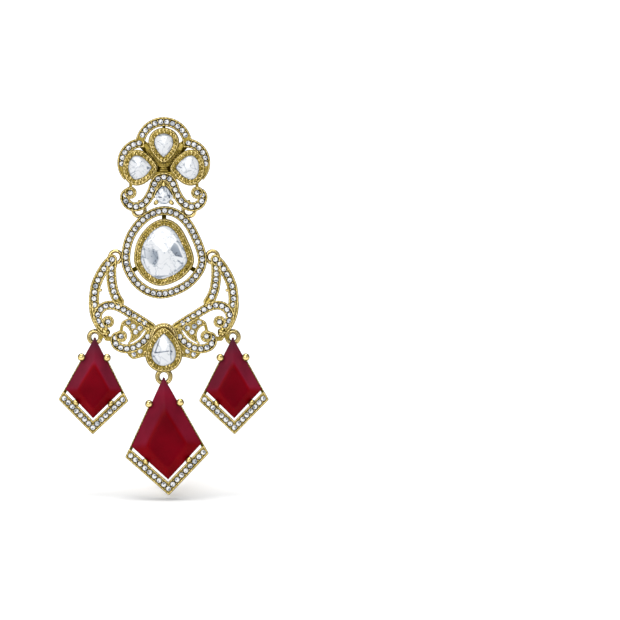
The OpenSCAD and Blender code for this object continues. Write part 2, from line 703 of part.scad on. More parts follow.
function crescent_places() = concat(
    [for (line = CRESCENT_ROWS) each row(smooth(crescent_line(line)))],
    crescent_line(FAN_STONES), crescent_line(FOOT_STONES));

module crescent_pave_left() {
    chips(mirrored(crescent_places()), crescent_back);
}

module crescent_pave_right() {
    chips(crescent_places(), crescent_back);
}

module crescent_stone() {
    set_stone(CENTRE, [0, centre_stone_z - centre_stone_l * 0.1], crescent_back, flower_stone_rise);
}

// Drops. Each hangs by a loop round the lower wire of its eye.
module hung(side) {
    s = drop_spec(side);
    translate([s[0][0], 0, s[0][1]]) rotate([0, -s[1], 0]) children();
}

// Left end, foot and right end of a line along the jewelled bar, this far outside the stone's foot.
// Its ends lie on the stone's upper sides, drawn on and moved out by the lip.
function bar_edge(s, out) =
    let (k = kite(s), along = unit(k[1] - k[0]), side = left_of(along),
         low = left_of(unit(k[2] - k[1])),
         end = k[1] + kite_lip * side
             + along * (out + kite_spread - kite_lip * (side * low)) / (along * low))
    [[-end[0], end[1]], kite_inset(s, -out)[2], end];
// The line that carries the bar's stones, without its plain ends
function drop_row(s) = let (e = bar_edge(s, kite_slit + bar_w / 2), t = bar_end / norm(e[1] - e[0]))
    [mix(e[0], e[1], t), e[1], mix(e[2], e[1], t)];

module bar_shape(s, trim) {
    polygon(concat(bar_edge(s, kite_slit + trim), reversed(bar_edge(s, kite_slit + bar_w - trim))));
}

// Each prong: its middle, the stone's edge beside it, its size and the inner and outer end of its
// arm, which reach a share of the way from the edge to the middle
PRONG_SIZES = [1, 0.75];
PRONG_ARMS = [[-0.5, 1], [-1, 2]];
function prong_places(s) = let (k = kite(s)) [
    for (m = [1, -1]) for (i = [0, 1])
        let (e = [k[i], k[i + 1]], p = mix(e[0], e[1], PRONG_SHARES[i]),
             q = p + left_of(unit(e[1] - e[0])) * (strut_w / 2 + seat_gap))
            [[m * q[0], q[1]], [m * p[0], p[1]], PRONG_SIZES[i], PRONG_ARMS[i]]];

// Thin walls outside the stone's upper sides, from the upper prongs down to the bar's ends
module lip_shape(s) {
    k = kite(s);
    out = left_of(unit(k[1] - k[0]));
    top = mix(k[0], k[1], PRONG_SHARES[0]);
    foot = bar_edge(s, kite_slit + strut_w)[2];
    both_sides() polygon(
        [top - out * kite_wall / 2, foot - out * kite_wall, foot, top + out * kite_lip]);
}

module drop_shape(s) {
    difference() {
        polygon(kite_inset(s, skin));
        intersection() {
            polygon(kite_inset(s, kite_wall));
            translate([-beyond / 2, yoke_foot - beyond]) square(beyond);
        }
        translate([-beyond / 2, yoke_top]) square(beyond);
    }
    bar_shape(s, 0);
    for (p = prong_places(s))
        bar(mix(p[1], p[0], p[3][0]), mix(p[1], p[0], p[3][1]), strut_w);
    lip_shape(s);
}

module drop_frame(side) {
    s = drop_spec(side);
    back = kite_depth - base_t - seat_gap;
    front = kite_depth - seat_gap;
    color(GOLD) {
        loop(s[0], eye_bail_r, bail_wire, eye_depth);
        hung(side) {
            slab(back, front) drop_shape(s);
            slab(front - base_t / 2, kite_depth + kite_edge * 0.6) difference() {
                lip_shape(s);
                polygon(kite_inset(s, -seat_gap));
                bar_shape(s, -skin);
            }
            slab(front - base_t / 2, front + rim_h) difference() {
                bar_shape(s, skin);
                band(drop_row(s), chip_d + 2 * seat_gap);
            }
            for (p = prong_places(s)) let (r = prong_ball_r * p[2])
                prong(p[0], strut_w * 0.4, r, front - base_t / 2, kite_depth + kite_edge + r * 1.08);
        }
    }
}

module drop_pave(side) {
    s = drop_spec(side);
    line = drop_row(s);
    places = row([line[0], line[1]]);
    hung(side) chips(
        concat(places, reversed(mirrored([for (i = [0 : len(places) - 2]) places[i]]))),
        kite_depth - base_t - seat_gap);
}

module ruby(side) {
    s = drop_spec(side);
    color(RUBY) hung(side) stack(
        [kite_plug(s), kite_plug(s), kite(s), kite(s), kite_table(s)],
        [for (d = [-kite_back, -seat_gap / 2, 0, kite_edge, kite_crown]) kite_depth + d]);
}

module drop_frame_left() {
    drop_frame(-1);
}

module drop_frame_centre() {
    drop_frame(0);
}

module drop_frame_right() {
    drop_frame(1);
}

module drop_pave_left() {
    drop_pave(-1);
}

module drop_pave_centre() {
    drop_pave(0);
}

module drop_pave_right() {
    drop_pave(1);
}

module ruby_left() {
    ruby(-1);
}

module ruby_centre() {
    ruby(0);
}

module ruby_right() {
    ruby(1);
}

top_frame();
ear_post();
border_pave();
scroll_pave();
polki_upper();
polki_left();
polki_right();
arch_stone();
halo_frame();
halo_pave();
polki_large();
crescent_frame();
crescent_pave_left();
crescent_pave_right();
crescent_stone();
drop_frame_left();
drop_frame_centre();
drop_frame_right();
drop_pave_left();
drop_pave_centre();
drop_pave_right();
ruby_left();
ruby_centre();
ruby_right();
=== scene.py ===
"""Looks of the chandbali earring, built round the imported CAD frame.

Lengths in the tables are in millimetres, in the frame of the CAD model: x to the right, z up and
depth counted forwards from the back of the post's pad, so a point is (x, -depth, z). Meshes are
written in metres. Every sub-assembly is a class with its sizes as fields; every surface is worked
out with numpy as a profile along a path, a grid of two parameters or a repeated template.
"""

import json
import logging
import math
from dataclasses import dataclass, replace
from enum import Enum

import bpy
import numpy as np
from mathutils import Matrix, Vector

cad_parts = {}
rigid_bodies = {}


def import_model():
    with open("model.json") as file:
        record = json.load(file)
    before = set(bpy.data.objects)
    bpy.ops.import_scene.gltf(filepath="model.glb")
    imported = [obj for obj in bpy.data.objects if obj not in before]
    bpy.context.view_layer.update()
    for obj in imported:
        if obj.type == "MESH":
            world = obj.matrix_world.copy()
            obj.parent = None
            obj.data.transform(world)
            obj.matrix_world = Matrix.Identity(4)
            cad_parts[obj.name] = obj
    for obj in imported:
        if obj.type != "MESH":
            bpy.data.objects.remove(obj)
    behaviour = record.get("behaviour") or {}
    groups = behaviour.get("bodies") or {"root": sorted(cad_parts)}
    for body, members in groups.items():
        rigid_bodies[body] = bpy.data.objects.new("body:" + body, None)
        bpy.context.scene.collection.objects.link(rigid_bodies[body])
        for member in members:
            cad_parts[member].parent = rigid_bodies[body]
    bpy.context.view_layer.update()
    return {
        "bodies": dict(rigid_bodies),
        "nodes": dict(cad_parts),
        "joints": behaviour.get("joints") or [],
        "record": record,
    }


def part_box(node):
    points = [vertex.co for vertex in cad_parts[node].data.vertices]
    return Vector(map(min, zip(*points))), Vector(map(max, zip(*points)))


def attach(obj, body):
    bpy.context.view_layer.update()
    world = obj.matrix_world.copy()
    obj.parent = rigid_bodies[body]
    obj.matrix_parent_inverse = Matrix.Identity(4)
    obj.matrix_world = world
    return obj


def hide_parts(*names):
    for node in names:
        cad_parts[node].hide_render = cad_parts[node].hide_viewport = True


Array = np.ndarray
LOG = logging.getLogger("chandbali")
MM = 0.001
FRONT = np.array([0.0, -1.0, 0.0])
Pair = tuple[float, float]
Triple = tuple[float, float, float]
Socket = bpy.types.NodeSocket


class Finish(Enum):
    """The finishes of the earring's surfaces."""

    WORKED = "worked_gold"
    POLKI = "polki"
    DIAMOND = "diamond"
    RUBY = "ruby"


# Curves in the plane of the face


def catmull(points: Array, steps: int, closed: bool = False) -> Array:
    """Draws a smooth line through points.

    Formula: p(t) = (2b + (c - a)t + (2a - 5b + 4c - d)t^2 + (3b - a - 3c + d)t^3) / 2 between
    the points b and c, with their neighbours a and d.

    Args:
        points: Points of the line, one [x, z] a row.
        steps: Pieces that each span is cut into.
        closed: Whether the line returns to its start.

    Returns:
        The points of the smooth line.
    """
    p = np.asarray(points, float)
    n = len(p)
    spans = n if closed else n - 1
    i = np.arange(spans)
    pick = (lambda k: k % n) if closed else (lambda k: np.clip(k, 0, n - 1))
    a, b, c, d = (p[pick(i + k)][:, None, :] for k in (-1, 0, 1, 2))
    t = (np.arange(steps) / steps)[None, :, None]
    line = (2 * b + (c - a) * t + (2 * a - 5 * b + 4 * c - d) * t**2 + (3 * b - a - 3 * c + d) * t**3) / 2
    line = line.reshape(-1, p.shape[1])
    return line if closed else np.vstack([line, p[-1:]])


def looped(line: Array, closed: bool) -> Array:
    """The line, with its start added at its end if it is closed."""
    return np.vstack([line, line[:1]]) if closed else line


def lengths(line: Array, closed: bool = False) -> Array:
    """Distance run along a line up to each point, and up to the start again if it is closed."""
    steps = np.linalg.norm(np.diff(looped(line, closed), axis=0), axis=1)
    return np.concatenate([[0.0], np.cumsum(steps)])


def even(line: Array, step: float, closed: bool = False) -> Array:
    """Places points at even distances along a line.

    Args:
        line: Points of the line.
        step: Wanted distance between points.
        closed: Whether the line returns to its start.

    Returns:
        The evenly spaced points.
    """
    path = looped(line, closed)
    run = lengths(line, closed)
    count = max(3, int(round(run[-1] / step)))
    where = np.linspace(0, run[-1], count + 1)
    where = where[:-1] if closed else where
    return np.stack([np.interp(where, run, path[:, k]) for k in range(path.shape[1])], axis=1)


def unit(v: Array) -> Array:
    """Vectors with the same directions and length 1."""
    return v / np.maximum(np.linalg.norm(v, axis=-1, keepdims=True), 1e-9)


def headings(line: Array, closed: bool = False) -> Array:
    """Unit directions of a line at its points, from the neighbours on both sides."""
    if closed:
        return unit(np.roll(line, -1, axis=0) - np.roll(line, 1, axis=0))
    return unit(np.gradient(line, axis=0))


def left_of(v: Array) -> Array:
    """Plane vectors turned a quarter turn to the left."""
    return np.stack([-v[..., 1], v[..., 0]], axis=-1)


def beside(line: Array, gap: float, closed: bool = False) -> Array:
    """A line moved sideways, to its left for a positive gap."""
    return line + gap * left_of(headings(line, closed))


def rounded(loop: Array, gap: float, step: float = 0.12) -> Array:
    """Moves an anticlockwise closed line outwards, with its corners rounded.

    Formula: each corner p becomes an arc p + gap * (cos a, sin a), with a from the outward
    direction of the edge before it to that of the edge after it.

    Args:
        loop: Points of the closed line.
        gap: Distance to move outwards.
        step: Distance between the points of the result.

    Returns:
        The moved line, evenly spaced.
    """
    edge = np.roll(loop, -1, axis=0) - loop
    after = np.arctan2(-edge[:, 0], edge[:, 1])
    turn = (after - np.roll(after, 1) + math.pi) % (2 * math.pi) - math.pi
    share = np.linspace(0, 1, 9)[None, :]
    a = (after - turn)[:, None] + turn[:, None] * share
    arcs = loop[:, None, :] + gap * np.stack([np.cos(a), np.sin(a)], axis=2)
    return even(arcs.reshape(-1, 2), step, closed=True)


def arc(centre: Pair, radius: float, start: float, stop: float, count: int = 40) -> Array:
    """Points on a circle from one angle to another, in degrees."""
    a = np.radians(np.linspace(start, stop, count))
    return np.array(centre) + radius * np.stack([np.cos(a), np.sin(a)], axis=1)


def circle(centre: Pair, radius: float, count: int) -> Array:
    """Points all round a circle, the first one on its right."""
    return arc(centre, radius, 0, 360, count + 1)[:-1]


def mirrored(line: Array) -> Array:
    """A line on the other side of the middle."""
    return line * np.array([-1.0, 1.0])


def both(line: Array) -> Array:
    """A line's points on both sides of the middle."""
    return np.vstack([line, mirrored(line)])


def area(loop: Array) -> float:
    """Signed area of a closed line, positive if it runs anticlockwise."""
    x, z = loop[:, 0], loop[:, 1]
    return 0.5 * float(np.sum(x * np.roll(z, -1) - np.roll(x, -1) * z))


def nearest(points: Array, others: Array) -> Array:
    """Distance from each point to the nearest of the others."""
    return np.linalg.norm(points[:, None, :] - others[None], axis=2).min(axis=1)


def inside(points: Array, loop: Array) -> Array:
    """Whether each point lies in a closed line, by an odd count of its sides to the point's right."""
    ahead = np.roll(loop, -1, axis=0)
    x, z = points[:, :1], points[:, 1:]
    crossed = (loop[:, 1] > z) != (ahead[:, 1] > z)
    rise = np.where(crossed, (ahead - loop)[:, 1], 1)
    at = loop[:, 0] + (z - loop[:, 1]) * (ahead - loop)[:, 0] / rise
    return np.sum(crossed & (x < at), axis=1) % 2 == 1


def pear(width: float, length: float, centre: Pair, turn: float, count: int = 96) -> Array:
    """Outline of a pear stone, anticlockwise from its point.

    Formula: x = -w/2 sin t |sin t/2|^0.8 / peak, z = l/2 cos t, turned and moved to its place.

    Args:
        width: Width across.
        length: Length from point to round end.
        centre: Middle of the pear.
        turn: Turn in degrees; at 0 the point is up.
        count: Points of the outline.

    Returns:
        The outline's points.
    """
    power = 0.8
    t = np.linspace(0, 2 * math.pi, count, endpoint=False)
    peak = 2 * math.sqrt(1 / (2 + power)) * ((1 + power) / (2 + power)) ** ((1 + power) / 2)
    x = -width / 2 * np.sin(t) * np.abs(np.sin(t / 2)) ** power / peak
    z = length / 2 * np.cos(t)
    a = math.radians(turn)
    return np.stack([x * math.cos(a) - z * math.sin(a), x * math.sin(a) + z * math.cos(a)], axis=1) + centre


def stadium(line: Array, half: float, step: float) -> Array:
    """Closed line that runs round a band: up one side, round its end and back.

    Args:
        line: Middle line of the band.
        half: Distance from the middle line.
        step: Distance between the points of the result.

    Returns:
        The closed line, anticlockwise.
    """
    line = even(line, step)
    t = headings(line)
    ends = []
    for at, way in ((line[-1], t[-1]), (line[0], -t[0])):
        a = math.degrees(math.atan2(way[1], way[0]))
        ends.append(arc(at, half, a - 90, a + 90, 13))
    around = np.vstack([beside(line, -half), ends[0], beside(line, half)[::-1], ends[1]])
    return even(around, step, closed=True)


# Surfaces


@dataclass
class Shell:
    """Points and faces of a surface, in millimetres.

    Attributes:
        points: One [x, y, z] a row.
        quads: Faces with four corners.
        tris: Faces with three corners.
        tone: A value from 0 to 1 at each point, which its material reads; most pieces use it for painted
            light and shade.
    """

    points: Array
    quads: Array
    tris: Array
    tone: Array

    def toned(self, share: float | Array) -> "Shell":
        """The surface with its tones times a share, one for all points or one for each."""
        return replace(self, tone=self.tone * share)

    def flipped(self) -> "Shell":
        """The surface mirrored to the other side of the middle, with its faces still outwards."""
        return Shell(self.points * [-1, 1, 1], self.quads[:, ::-1], self.tris[:, ::-1], self.tone)


NO_QUADS = np.zeros((0, 4), int)
NO_TRIS = np.zeros((0, 3), int)


def joined(shells: list[Shell]) -> Shell:
    """Several surfaces as one."""
    starts = np.cumsum([0] + [len(s.points) for s in shells[:-1]])
    return Shell(
        np.vstack([s.points for s in shells]),
        np.vstack([s.quads + o for s, o in zip(shells, starts)]),
        np.vstack([s.tris + o for s, o in zip(shells, starts)]),
        np.concatenate([s.tone for s in shells]),
    )


def grid_quads(rows: int, columns: int, wrap_rows: bool, wrap_columns: bool) -> Array:
    """Quads of a grid of points, counted row by row."""
    i = np.arange(rows if wrap_rows else rows - 1)[:, None]
    j = np.arange(columns if wrap_columns else columns - 1)[None, :]
    k, m = (i + 1) % rows, (j + 1) % columns
    corners = [i * columns + j, i * columns + m, k * columns + m, k * columns + j]
    return np.stack(np.broadcast_arrays(*corners), axis=2).reshape(-1, 4)


def fan(ring: Array, hub: int) -> Array:
    """Triangles from a closed ring of points to a hub, all given by their numbers."""
    return np.stack([ring, np.roll(ring, -1), np.full(len(ring), hub)], axis=1)


def sweep(line: Array, depth: float | Array, profile: Array, closed: bool) -> Shell:
    """Carries a closed profile along a line in the plane of the face.

    Formula: point(i, j) = line(i) + u(j) * side(i), at the depth d(i) + v(j), where side is the
    line's left. The tone is the share of the profile's height: painted shade low on the profile
    and a painted highlight at its top.

    Args:
        line: Middle line, one [x, z] a row.
        depth: Depth of the profile's origin, one for all points or one for each.
        profile: Closed profile, anticlockwise, as [u, v].
        closed: Whether the line returns to its start.

    Returns:
        The swept surface, with its ends closed.
    """
    side = left_of(headings(line, closed))
    u, v = profile[:, 0], profile[:, 1]
    flat = line[:, None, :] + u[None, :, None] * side[:, None, :]
    height = np.broadcast_to(np.asarray(depth, float), len(line))[:, None] + v[None, :]
    points = np.stack([flat[:, :, 0], -height, flat[:, :, 1]], axis=2)
    # Painted light: the higher a point of the profile, the lighter its tone.
    tone = np.tile((v - v.min()) / max(np.ptp(v), 1e-9), len(line))
    return tube_like(points, tone, closed)


def tube_like(grid: Array, tone: Array, closed: bool) -> Shell:
    """Surface of a grid of rings. Unless the last ring meets the first, fans close both ends."""
    rows, columns = grid.shape[:2]
    points = grid.reshape(-1, 3)
    quads = grid_quads(rows, columns, closed, True)
    if closed:
        return Shell(points, quads, NO_TRIS, tone)
    middles = grid[[0, -1]].mean(axis=1)
    ring = np.arange(columns)
    ends = [fan(ring[::-1], len(points)), fan(ring + (rows - 1) * columns, len(points) + 1)]
    return Shell(np.vstack([points, middles]), quads, np.vstack(ends), np.append(tone, [0.5, 0.5]))


def tube(path: Array, radius: float | Array, sides: int, closed: bool = False, up: Array = FRONT) -> Shell:
    """Carries a circle along a path in space.

    Formula: point(i, j) = path(i) + r(i) * (cos a(j) * b(i) + sin a(j) * n(i)), with n the part of
    `up` square to the path and b square to both.

    Args:
        path: Points of the path, one [x, y, z] a row.
        radius: Radius, one for all points or one for each.
        sides: Points of the circle.
        closed: Whether the path returns to its start.
        up: Direction that the first side faces.

    Returns:
        The tube, with its ends closed.
    """
    t = headings(path, closed)
    b = unit(np.cross(up, t))
    n = np.cross(t, b)
    a = np.linspace(0, 2 * math.pi, sides, endpoint=False)
    r = np.broadcast_to(np.asarray(radius, float), len(path))[:, None, None]
    ring = np.cos(a)[None, :, None] * b[:, None, :] + np.sin(a)[None, :, None] * n[:, None, :]
    # Painted light: the side facing `up`, the front unless given, is lighter and the far side darker.
    tone = np.tile(0.35 + 0.65 * (np.sin(a) + 1) / 2, len(path))
    return tube_like(path[:, None, :] + r * ring, tone, closed)


def space(line: Array, depth: float | Array) -> Array:
    """A line of the face's plane, set at a depth in space."""
    return np.stack([line[:, 0], -np.broadcast_to(np.asarray(depth, float), len(line)), line[:, 1]], axis=1)


def rim_profile(width: float, height: float) -> Array:
    """Closed profile of a rolled rim: the upper half of an ellipse over a pointed foot."""
    a = np.append(np.radians(np.linspace(0, 180, 10)), 1.5 * math.pi)
    return np.stack([width / 2 * np.cos(a), height / 2 * np.sin(a)], axis=1)


def lip_profile(width: float, height: float, count: int = 14) -> Array:
    """Closed profile of a bezel's rolled lip.

    Formula: v = height * sin(pi s)^0.45 * (0.85 + 0.15 s) over its width, so that the outer side
    stands higher, with a flat foot.

    Args:
        width: Width across.
        height: Height of the lip.
        count: Points across.

    Returns:
        The profile, anticlockwise.
    """
    s = np.linspace(0, 1, count)
    top = height * np.sin(math.pi * np.clip(s, 0.001, 0.999)) ** 0.45 * (0.85 + 0.15 * s)
    upper = np.stack([width * (s - 0.5), top], axis=1)[::-1]
    foot = np.array([[-width / 2, -0.2], [width / 2, -0.2]])
    return np.vstack([upper, foot])


def dome(sectors: int = 8, rings: int = 3, tall: float = 1.0) -> Shell:
    """A small bead of radius 1 that faces the front, a little deeper than half a ball.

    Formula: radius sin a and height tall * cos a, with a from 0 to 115 degrees. The tone is
    0.4 + 0.7 cos a: a painted highlight on the top and painted shade towards the foot.

    Args:
        sectors: Points round.
        rings: Rings from the top to the foot.
        tall: Height over radius.

    Returns:
        The bead, with its middle at the origin.
    """
    a = np.radians(np.linspace(0, 115, rings + 1))[1:]
    t = np.linspace(0, 2 * math.pi, sectors, endpoint=False)
    x = np.sin(a)[:, None] * np.cos(t)[None, :]
    z = np.sin(a)[:, None] * np.sin(t)[None, :]
    y = np.broadcast_to(-tall * np.cos(a)[:, None], x.shape)
    grid = np.stack([x, y, z], axis=2).reshape(-1, 3)
    points = np.vstack([grid, [[0, -tall, 0]], [[0, grid[-1, 1], 0]]])
    ring = np.arange(sectors)
    tris = np.vstack([fan(ring, len(grid)), fan((ring + (rings - 1) * sectors)[::-1], len(grid) + 1)])
    quads = grid_quads(rings, sectors, False, True)[:, ::-1]
    # Painted highlight on the top, painted shade towards the foot.
    tone = np.concatenate([np.repeat(np.clip(np.cos(a) * 0.7 + 0.4, 0, 1), sectors), [1.0, 0.0]])
    return Shell(points, quads, tris, tone)


def spun(points: Array, turn: Array) -> Array:
    """Copies of points about the origin, each copy turned about the front's direction."""
    c, s = np.cos(turn)[:, None], np.sin(turn)[:, None]
    x, z = points[:, 0], points[:, 2]
    y = np.broadcast_to(points[:, 1], (len(turn), len(points)))
    return np.stack([x * c - z * s, y, x * s + z * c], axis=2)


def copied(faces: Array, copies: int, count: int) -> Array:
    """Faces for so many copies of a surface that has `count` points."""
    return (faces[None] + (np.arange(copies) * count)[:, None, None]).reshape(-1, faces.shape[1])


def scattered(template: Shell, places: Array, scale: float | Array, turn: float = 0.0) -> Shell:
    """Repeats a small surface at many places.

    Args:
        template: Surface about the origin.
        places: One [x, y, z] for each copy.
        scale: Size of all copies or of each.
        turn: Turn of the copies about the front's direction, in radians.

    Returns:
        All copies as one surface.
    """
    n, m = len(places), len(template.points)
    size = np.broadcast_to(np.asarray(scale, float), n)[:, None, None]
    points = spun(template.points, np.full(n, turn)) * size + places[:, None, :]
    return Shell(points.reshape(-1, 3), copied(template.quads, n, m), copied(template.tris, n, m),
                 np.tile(template.tone, n))


def facets(points: Array, tris: Array, tone: Array) -> Shell:
    """A cut stone: every facet gets points of its own, so that it stays flat and has one tone."""
    corners = points[tris].reshape(-1, 3)
    return Shell(corners, NO_QUADS, np.arange(len(corners)).reshape(-1, 3), np.repeat(tone, 3))


# Stones


def brilliant() -> tuple[Array, Array, Array]:
    """A small round stone of radius 1, with its girdle at the origin.

    Formula: the table's middle, then rings of 8 or 16 points for the table, the stars, the girdle's
    upper and lower edge, and the point at the back.

    Returns:
        Points, triangles, and for each triangle 0 for the table, 1 for the crown and 2 below.
    """
    rings = ((0.56, 0.42, 8, 0.5), (0.8, 0.28, 8, 0.0), (1.0, 0.0, 16, 0.0), (1.0, -0.08, 16, 0.0))
    points = [np.array([[0, -0.43, 0]])]
    for radius, height, count, shift in rings:
        a = (np.arange(count) + shift) * 2 * math.pi / count
        points.append(np.stack([radius * np.cos(a), np.full(count, -height), radius * np.sin(a)], axis=1))
    points.append(np.array([[0, 0.72, 0]]))
    k, q = np.arange(8), np.arange(16)
    table, star, girdle, low, tip = 1 + k, 9 + k, 17 + q, 33 + q, np.full(16, 49)
    next_table, next_star, next_girdle, next_low = (np.roll(ring, -1) for ring in (table, star, girdle, low))
    even_girdle, odd_girdle = girdle[::2], girdle[1::2]
    rows = [
        (np.zeros(8, int), table, next_table),
        (table, next_star, next_table), (table, star, odd_girdle), (table, odd_girdle, next_star),
        (star, even_girdle, odd_girdle), (next_star, odd_girdle, np.roll(even_girdle, -1)),
        (girdle, low, next_girdle), (next_girdle, low, next_low), (low, tip, next_low),
    ]
    part = np.repeat([0, 1, 2], [8, 40, 48])
    return np.vstack(points), np.vstack([np.stack(row, axis=1) for row in rows]), part


def pave(places: Array, radius: float, seed: int) -> Shell:
    """Small round stones at their places, each facet with its own tone as a painted reflection.

    Args:
        places: One [x, y, z] for each girdle's middle.
        radius: Radius of a stone.
        seed: Start of the random draws.

    Returns:
        All stones as one faceted surface.
    """
    draw = np.random.default_rng(seed)
    points, tris, part = brilliant()
    on_table, on_crown, below = (part[None, :] == k for k in range(3))
    count, faces = len(places), len(tris)
    # Painted reflections: random darker facets, one to four dark table facets and some grey crown facets; the
    # pavilion gets painted shade.
    tone = 1 - 0.25 * draw.random((count, faces)) ** 3
    start = draw.integers(0, 8, count)[:, None]
    dark = (np.arange(faces)[None, :] - start) % 8 < draw.integers(1, 5, count)[:, None]
    tone = np.where(dark & on_table, 0.2 * draw.random((count, faces)), tone)
    tone = np.where(dark & on_crown & (draw.random((count, faces)) < 0.5), 0.35, tone)
    tone = np.where(below, 0.35, tone)
    dull = draw.random(count) < 0.08
    tone = tone * np.where(dull, 0.66, 1.0)[:, None]
    turned = spun(points, draw.random(count) * 2 * math.pi)
    solid = (turned * radius + places[:, None, :]).reshape(-1, 3)
    return facets(solid, copied(tris, count, len(points)), tone.ravel())


@dataclass(frozen=True)
class Grey:
    """A darker facet, which is a painted reflection, or a darker line that shows in a stone.

    Attributes:
        corners: Corners of the facet in millimetres, or the points of a line.
        tone: Its tone, from 0, dark, to 1, white.
        soft: Width of its edge.
        fade: Direction and amount by which its painted tone grows lighter, in tones to the millimetre.
        line: Width of the line, or 0 for a facet.
    """

    corners: tuple[Pair, ...]
    tone: float
    soft: float = 0.12
    fade: Pair = (0.0, 0.0)
    line: float = 0.0

    def cover(self, at: Array) -> Array:
        """How far the facet or line covers each point, from 0 to 1.

        Formula: 1 / 2 - d / soft, with d the distance outside the nearest side, or outside the line.
        """
        p = np.array(self.corners)
        if self.line:
            a, b = p[:-1, None, :], p[1:, None, :]
            way = b - a
            share = np.clip(((at[None] - a) * way).sum(axis=2) / (way**2).sum(axis=2), 0, 1)
            far = np.linalg.norm(at[None] - a - share[:, :, None] * way, axis=2).min(axis=0)
            return np.clip(0.5 - (far - self.line / 2) / self.soft, 0, 1)
        p = p if area(p) > 0 else p[::-1]
        way = np.roll(p, -1, axis=0) - p
        out = -left_of(unit(way))
        far = ((at[None] - p[:, None, :]) * out[:, None, :]).sum(axis=2).max(axis=0)
        return np.clip(0.5 - far / self.soft, 0, 1)

    def laid(self, at: Array, tone: Array) -> Array:
        """The tones of the points with this facet or line laid over them."""
        cover = self.cover(at)
        own = np.clip(self.tone + (at - np.mean(self.corners, axis=0)) @ np.array(self.fade), 0, 1)
        return tone + cover * (own - tone)


@dataclass(frozen=True)
class Cut:
    """How a flat-cut stone is faceted.

    Attributes:
        edge: Number of steep facets round its edge.
        roof: Direction in degrees and tilt of each low facet that runs up to its peak.
        peak: Where those meet, from the outline's middle, in millimetres.
        slope: Rise of the edge facets, in shares of the height to the millimetre.
        greys: Darker facets, which are painted reflections, and lines.
        seed: Start of the random draws.
    """

    edge: int
    roof: tuple[Pair, ...]
    peak: tuple[float, float]
    slope: float
    greys: tuple[Grey, ...]
    seed: int


def flat_cut(outline: Array, back: float, rise: float, cut: Cut, rings: int) -> Shell:
    """A flat-cut stone: a low roof of facets over a ring of steeper ones.

    Formula: on a grid from the outline to the peak, height = the least of the planes
    0.74 + 0.6 * slope * (reach of the outline - p) . n for each edge facet, and
    1 - tilt * (p - peak) . n for each roof facet. The tone is that of the least plane, a painted
    reflection that differs from facet to facet, with the grey facets laid over it, and darker
    within about 0.2 of the outline as painted shade.

    Args:
        outline: Outline of the stone, anticlockwise.
        back: Depth of its flat back.
        rise: Height from its back to its peak.
        cut: How it is faceted.
        rings: Rings of the grid.

    Returns:
        The stone.
    """
    draw = np.random.default_rng(cut.seed)
    outline = even(outline, 0.16, closed=True)
    peak = (outline.min(axis=0) + outline.max(axis=0)) / 2 + np.array(cut.peak)
    share = np.linspace(0, 1, rings, endpoint=False)[:, None, None]
    flat = (outline[None] + share * (peak - outline)[None]).reshape(-1, 2)
    flat = np.vstack([flat, peak[None]])
    angle = (np.arange(cut.edge) + 0.5 * draw.random(cut.edge)) * 2 * math.pi / cut.edge
    n = np.stack([np.cos(angle), np.sin(angle)], axis=1)
    steep = cut.slope * (0.75 + 0.5 * draw.random(cut.edge))
    low = 0.74 + 0.6 * steep[None, :] * ((outline @ n.T).max(axis=0)[None, :] - flat @ n.T)
    way, tilt = np.radians([a for a, _ in cut.roof]), np.array([t for _, t in cut.roof])
    roof = 1 - tilt[None, :] * ((flat - peak) @ np.stack([np.cos(way), np.sin(way)]))
    planes = np.hstack([low, roof])
    # Painted reflections: each facet gets its own lighter or darker tone.
    shades = np.concatenate([1 - 0.22 * draw.random(cut.edge) ** 1.6, 1 - 0.07 * draw.random(len(cut.roof))])
    tone = shades[planes.argmin(axis=1)]
    for grey in cut.greys:
        tone = grey.laid(flat, tone)
    round_it = np.arctan2(flat[:, 1] - peak[1], flat[:, 0] - peak[0])
    # Painted shade: darker within about 0.2 of the outline, by an amount that changes round the stone.
    edge_shade = 0.44 + 0.2 * np.sin(3 * round_it + cut.seed)
    tone = tone * (1 - edge_shade * np.exp(-((nearest(flat, outline[::2]) / 0.17) ** 2)))
    top = space(flat, back + rise * planes.min(axis=1))
    points = np.vstack([space(outline, back), top, space(peak[None], back)])
    count = len(outline)
    ring = np.arange(count)
    fans = [fan(ring + rings * count, len(points) - 2), fan(ring[::-1], len(points) - 1)]
    # Painted shade: the sides and the back are toned dark.
    return Shell(points, grid_quads(rings + 1, count, False, True), np.vstack(fans),
                 np.concatenate([np.full(count, 0.4), tone, [0.4]]))


def sampled(corners: Array, per_side: int = 34) -> Array:
    """Points at even steps along the sides of a closed line with these corners."""
    t = (np.arange(per_side) / per_side)[None, :, None]
    return (corners[:, None, :] * (1 - t) + np.roll(corners, -1, axis=0)[:, None, :] * t).reshape(-1, 2)


def smoothed(values: Array, passes: int) -> Array:
    """Values round a closed line, each pass a mean of (1, 2, 1) with its neighbours."""
    for _ in range(passes):
        values = (np.roll(values, 1, axis=0) + 2 * values + np.roll(values, -1, axis=0)) / 4
    return values


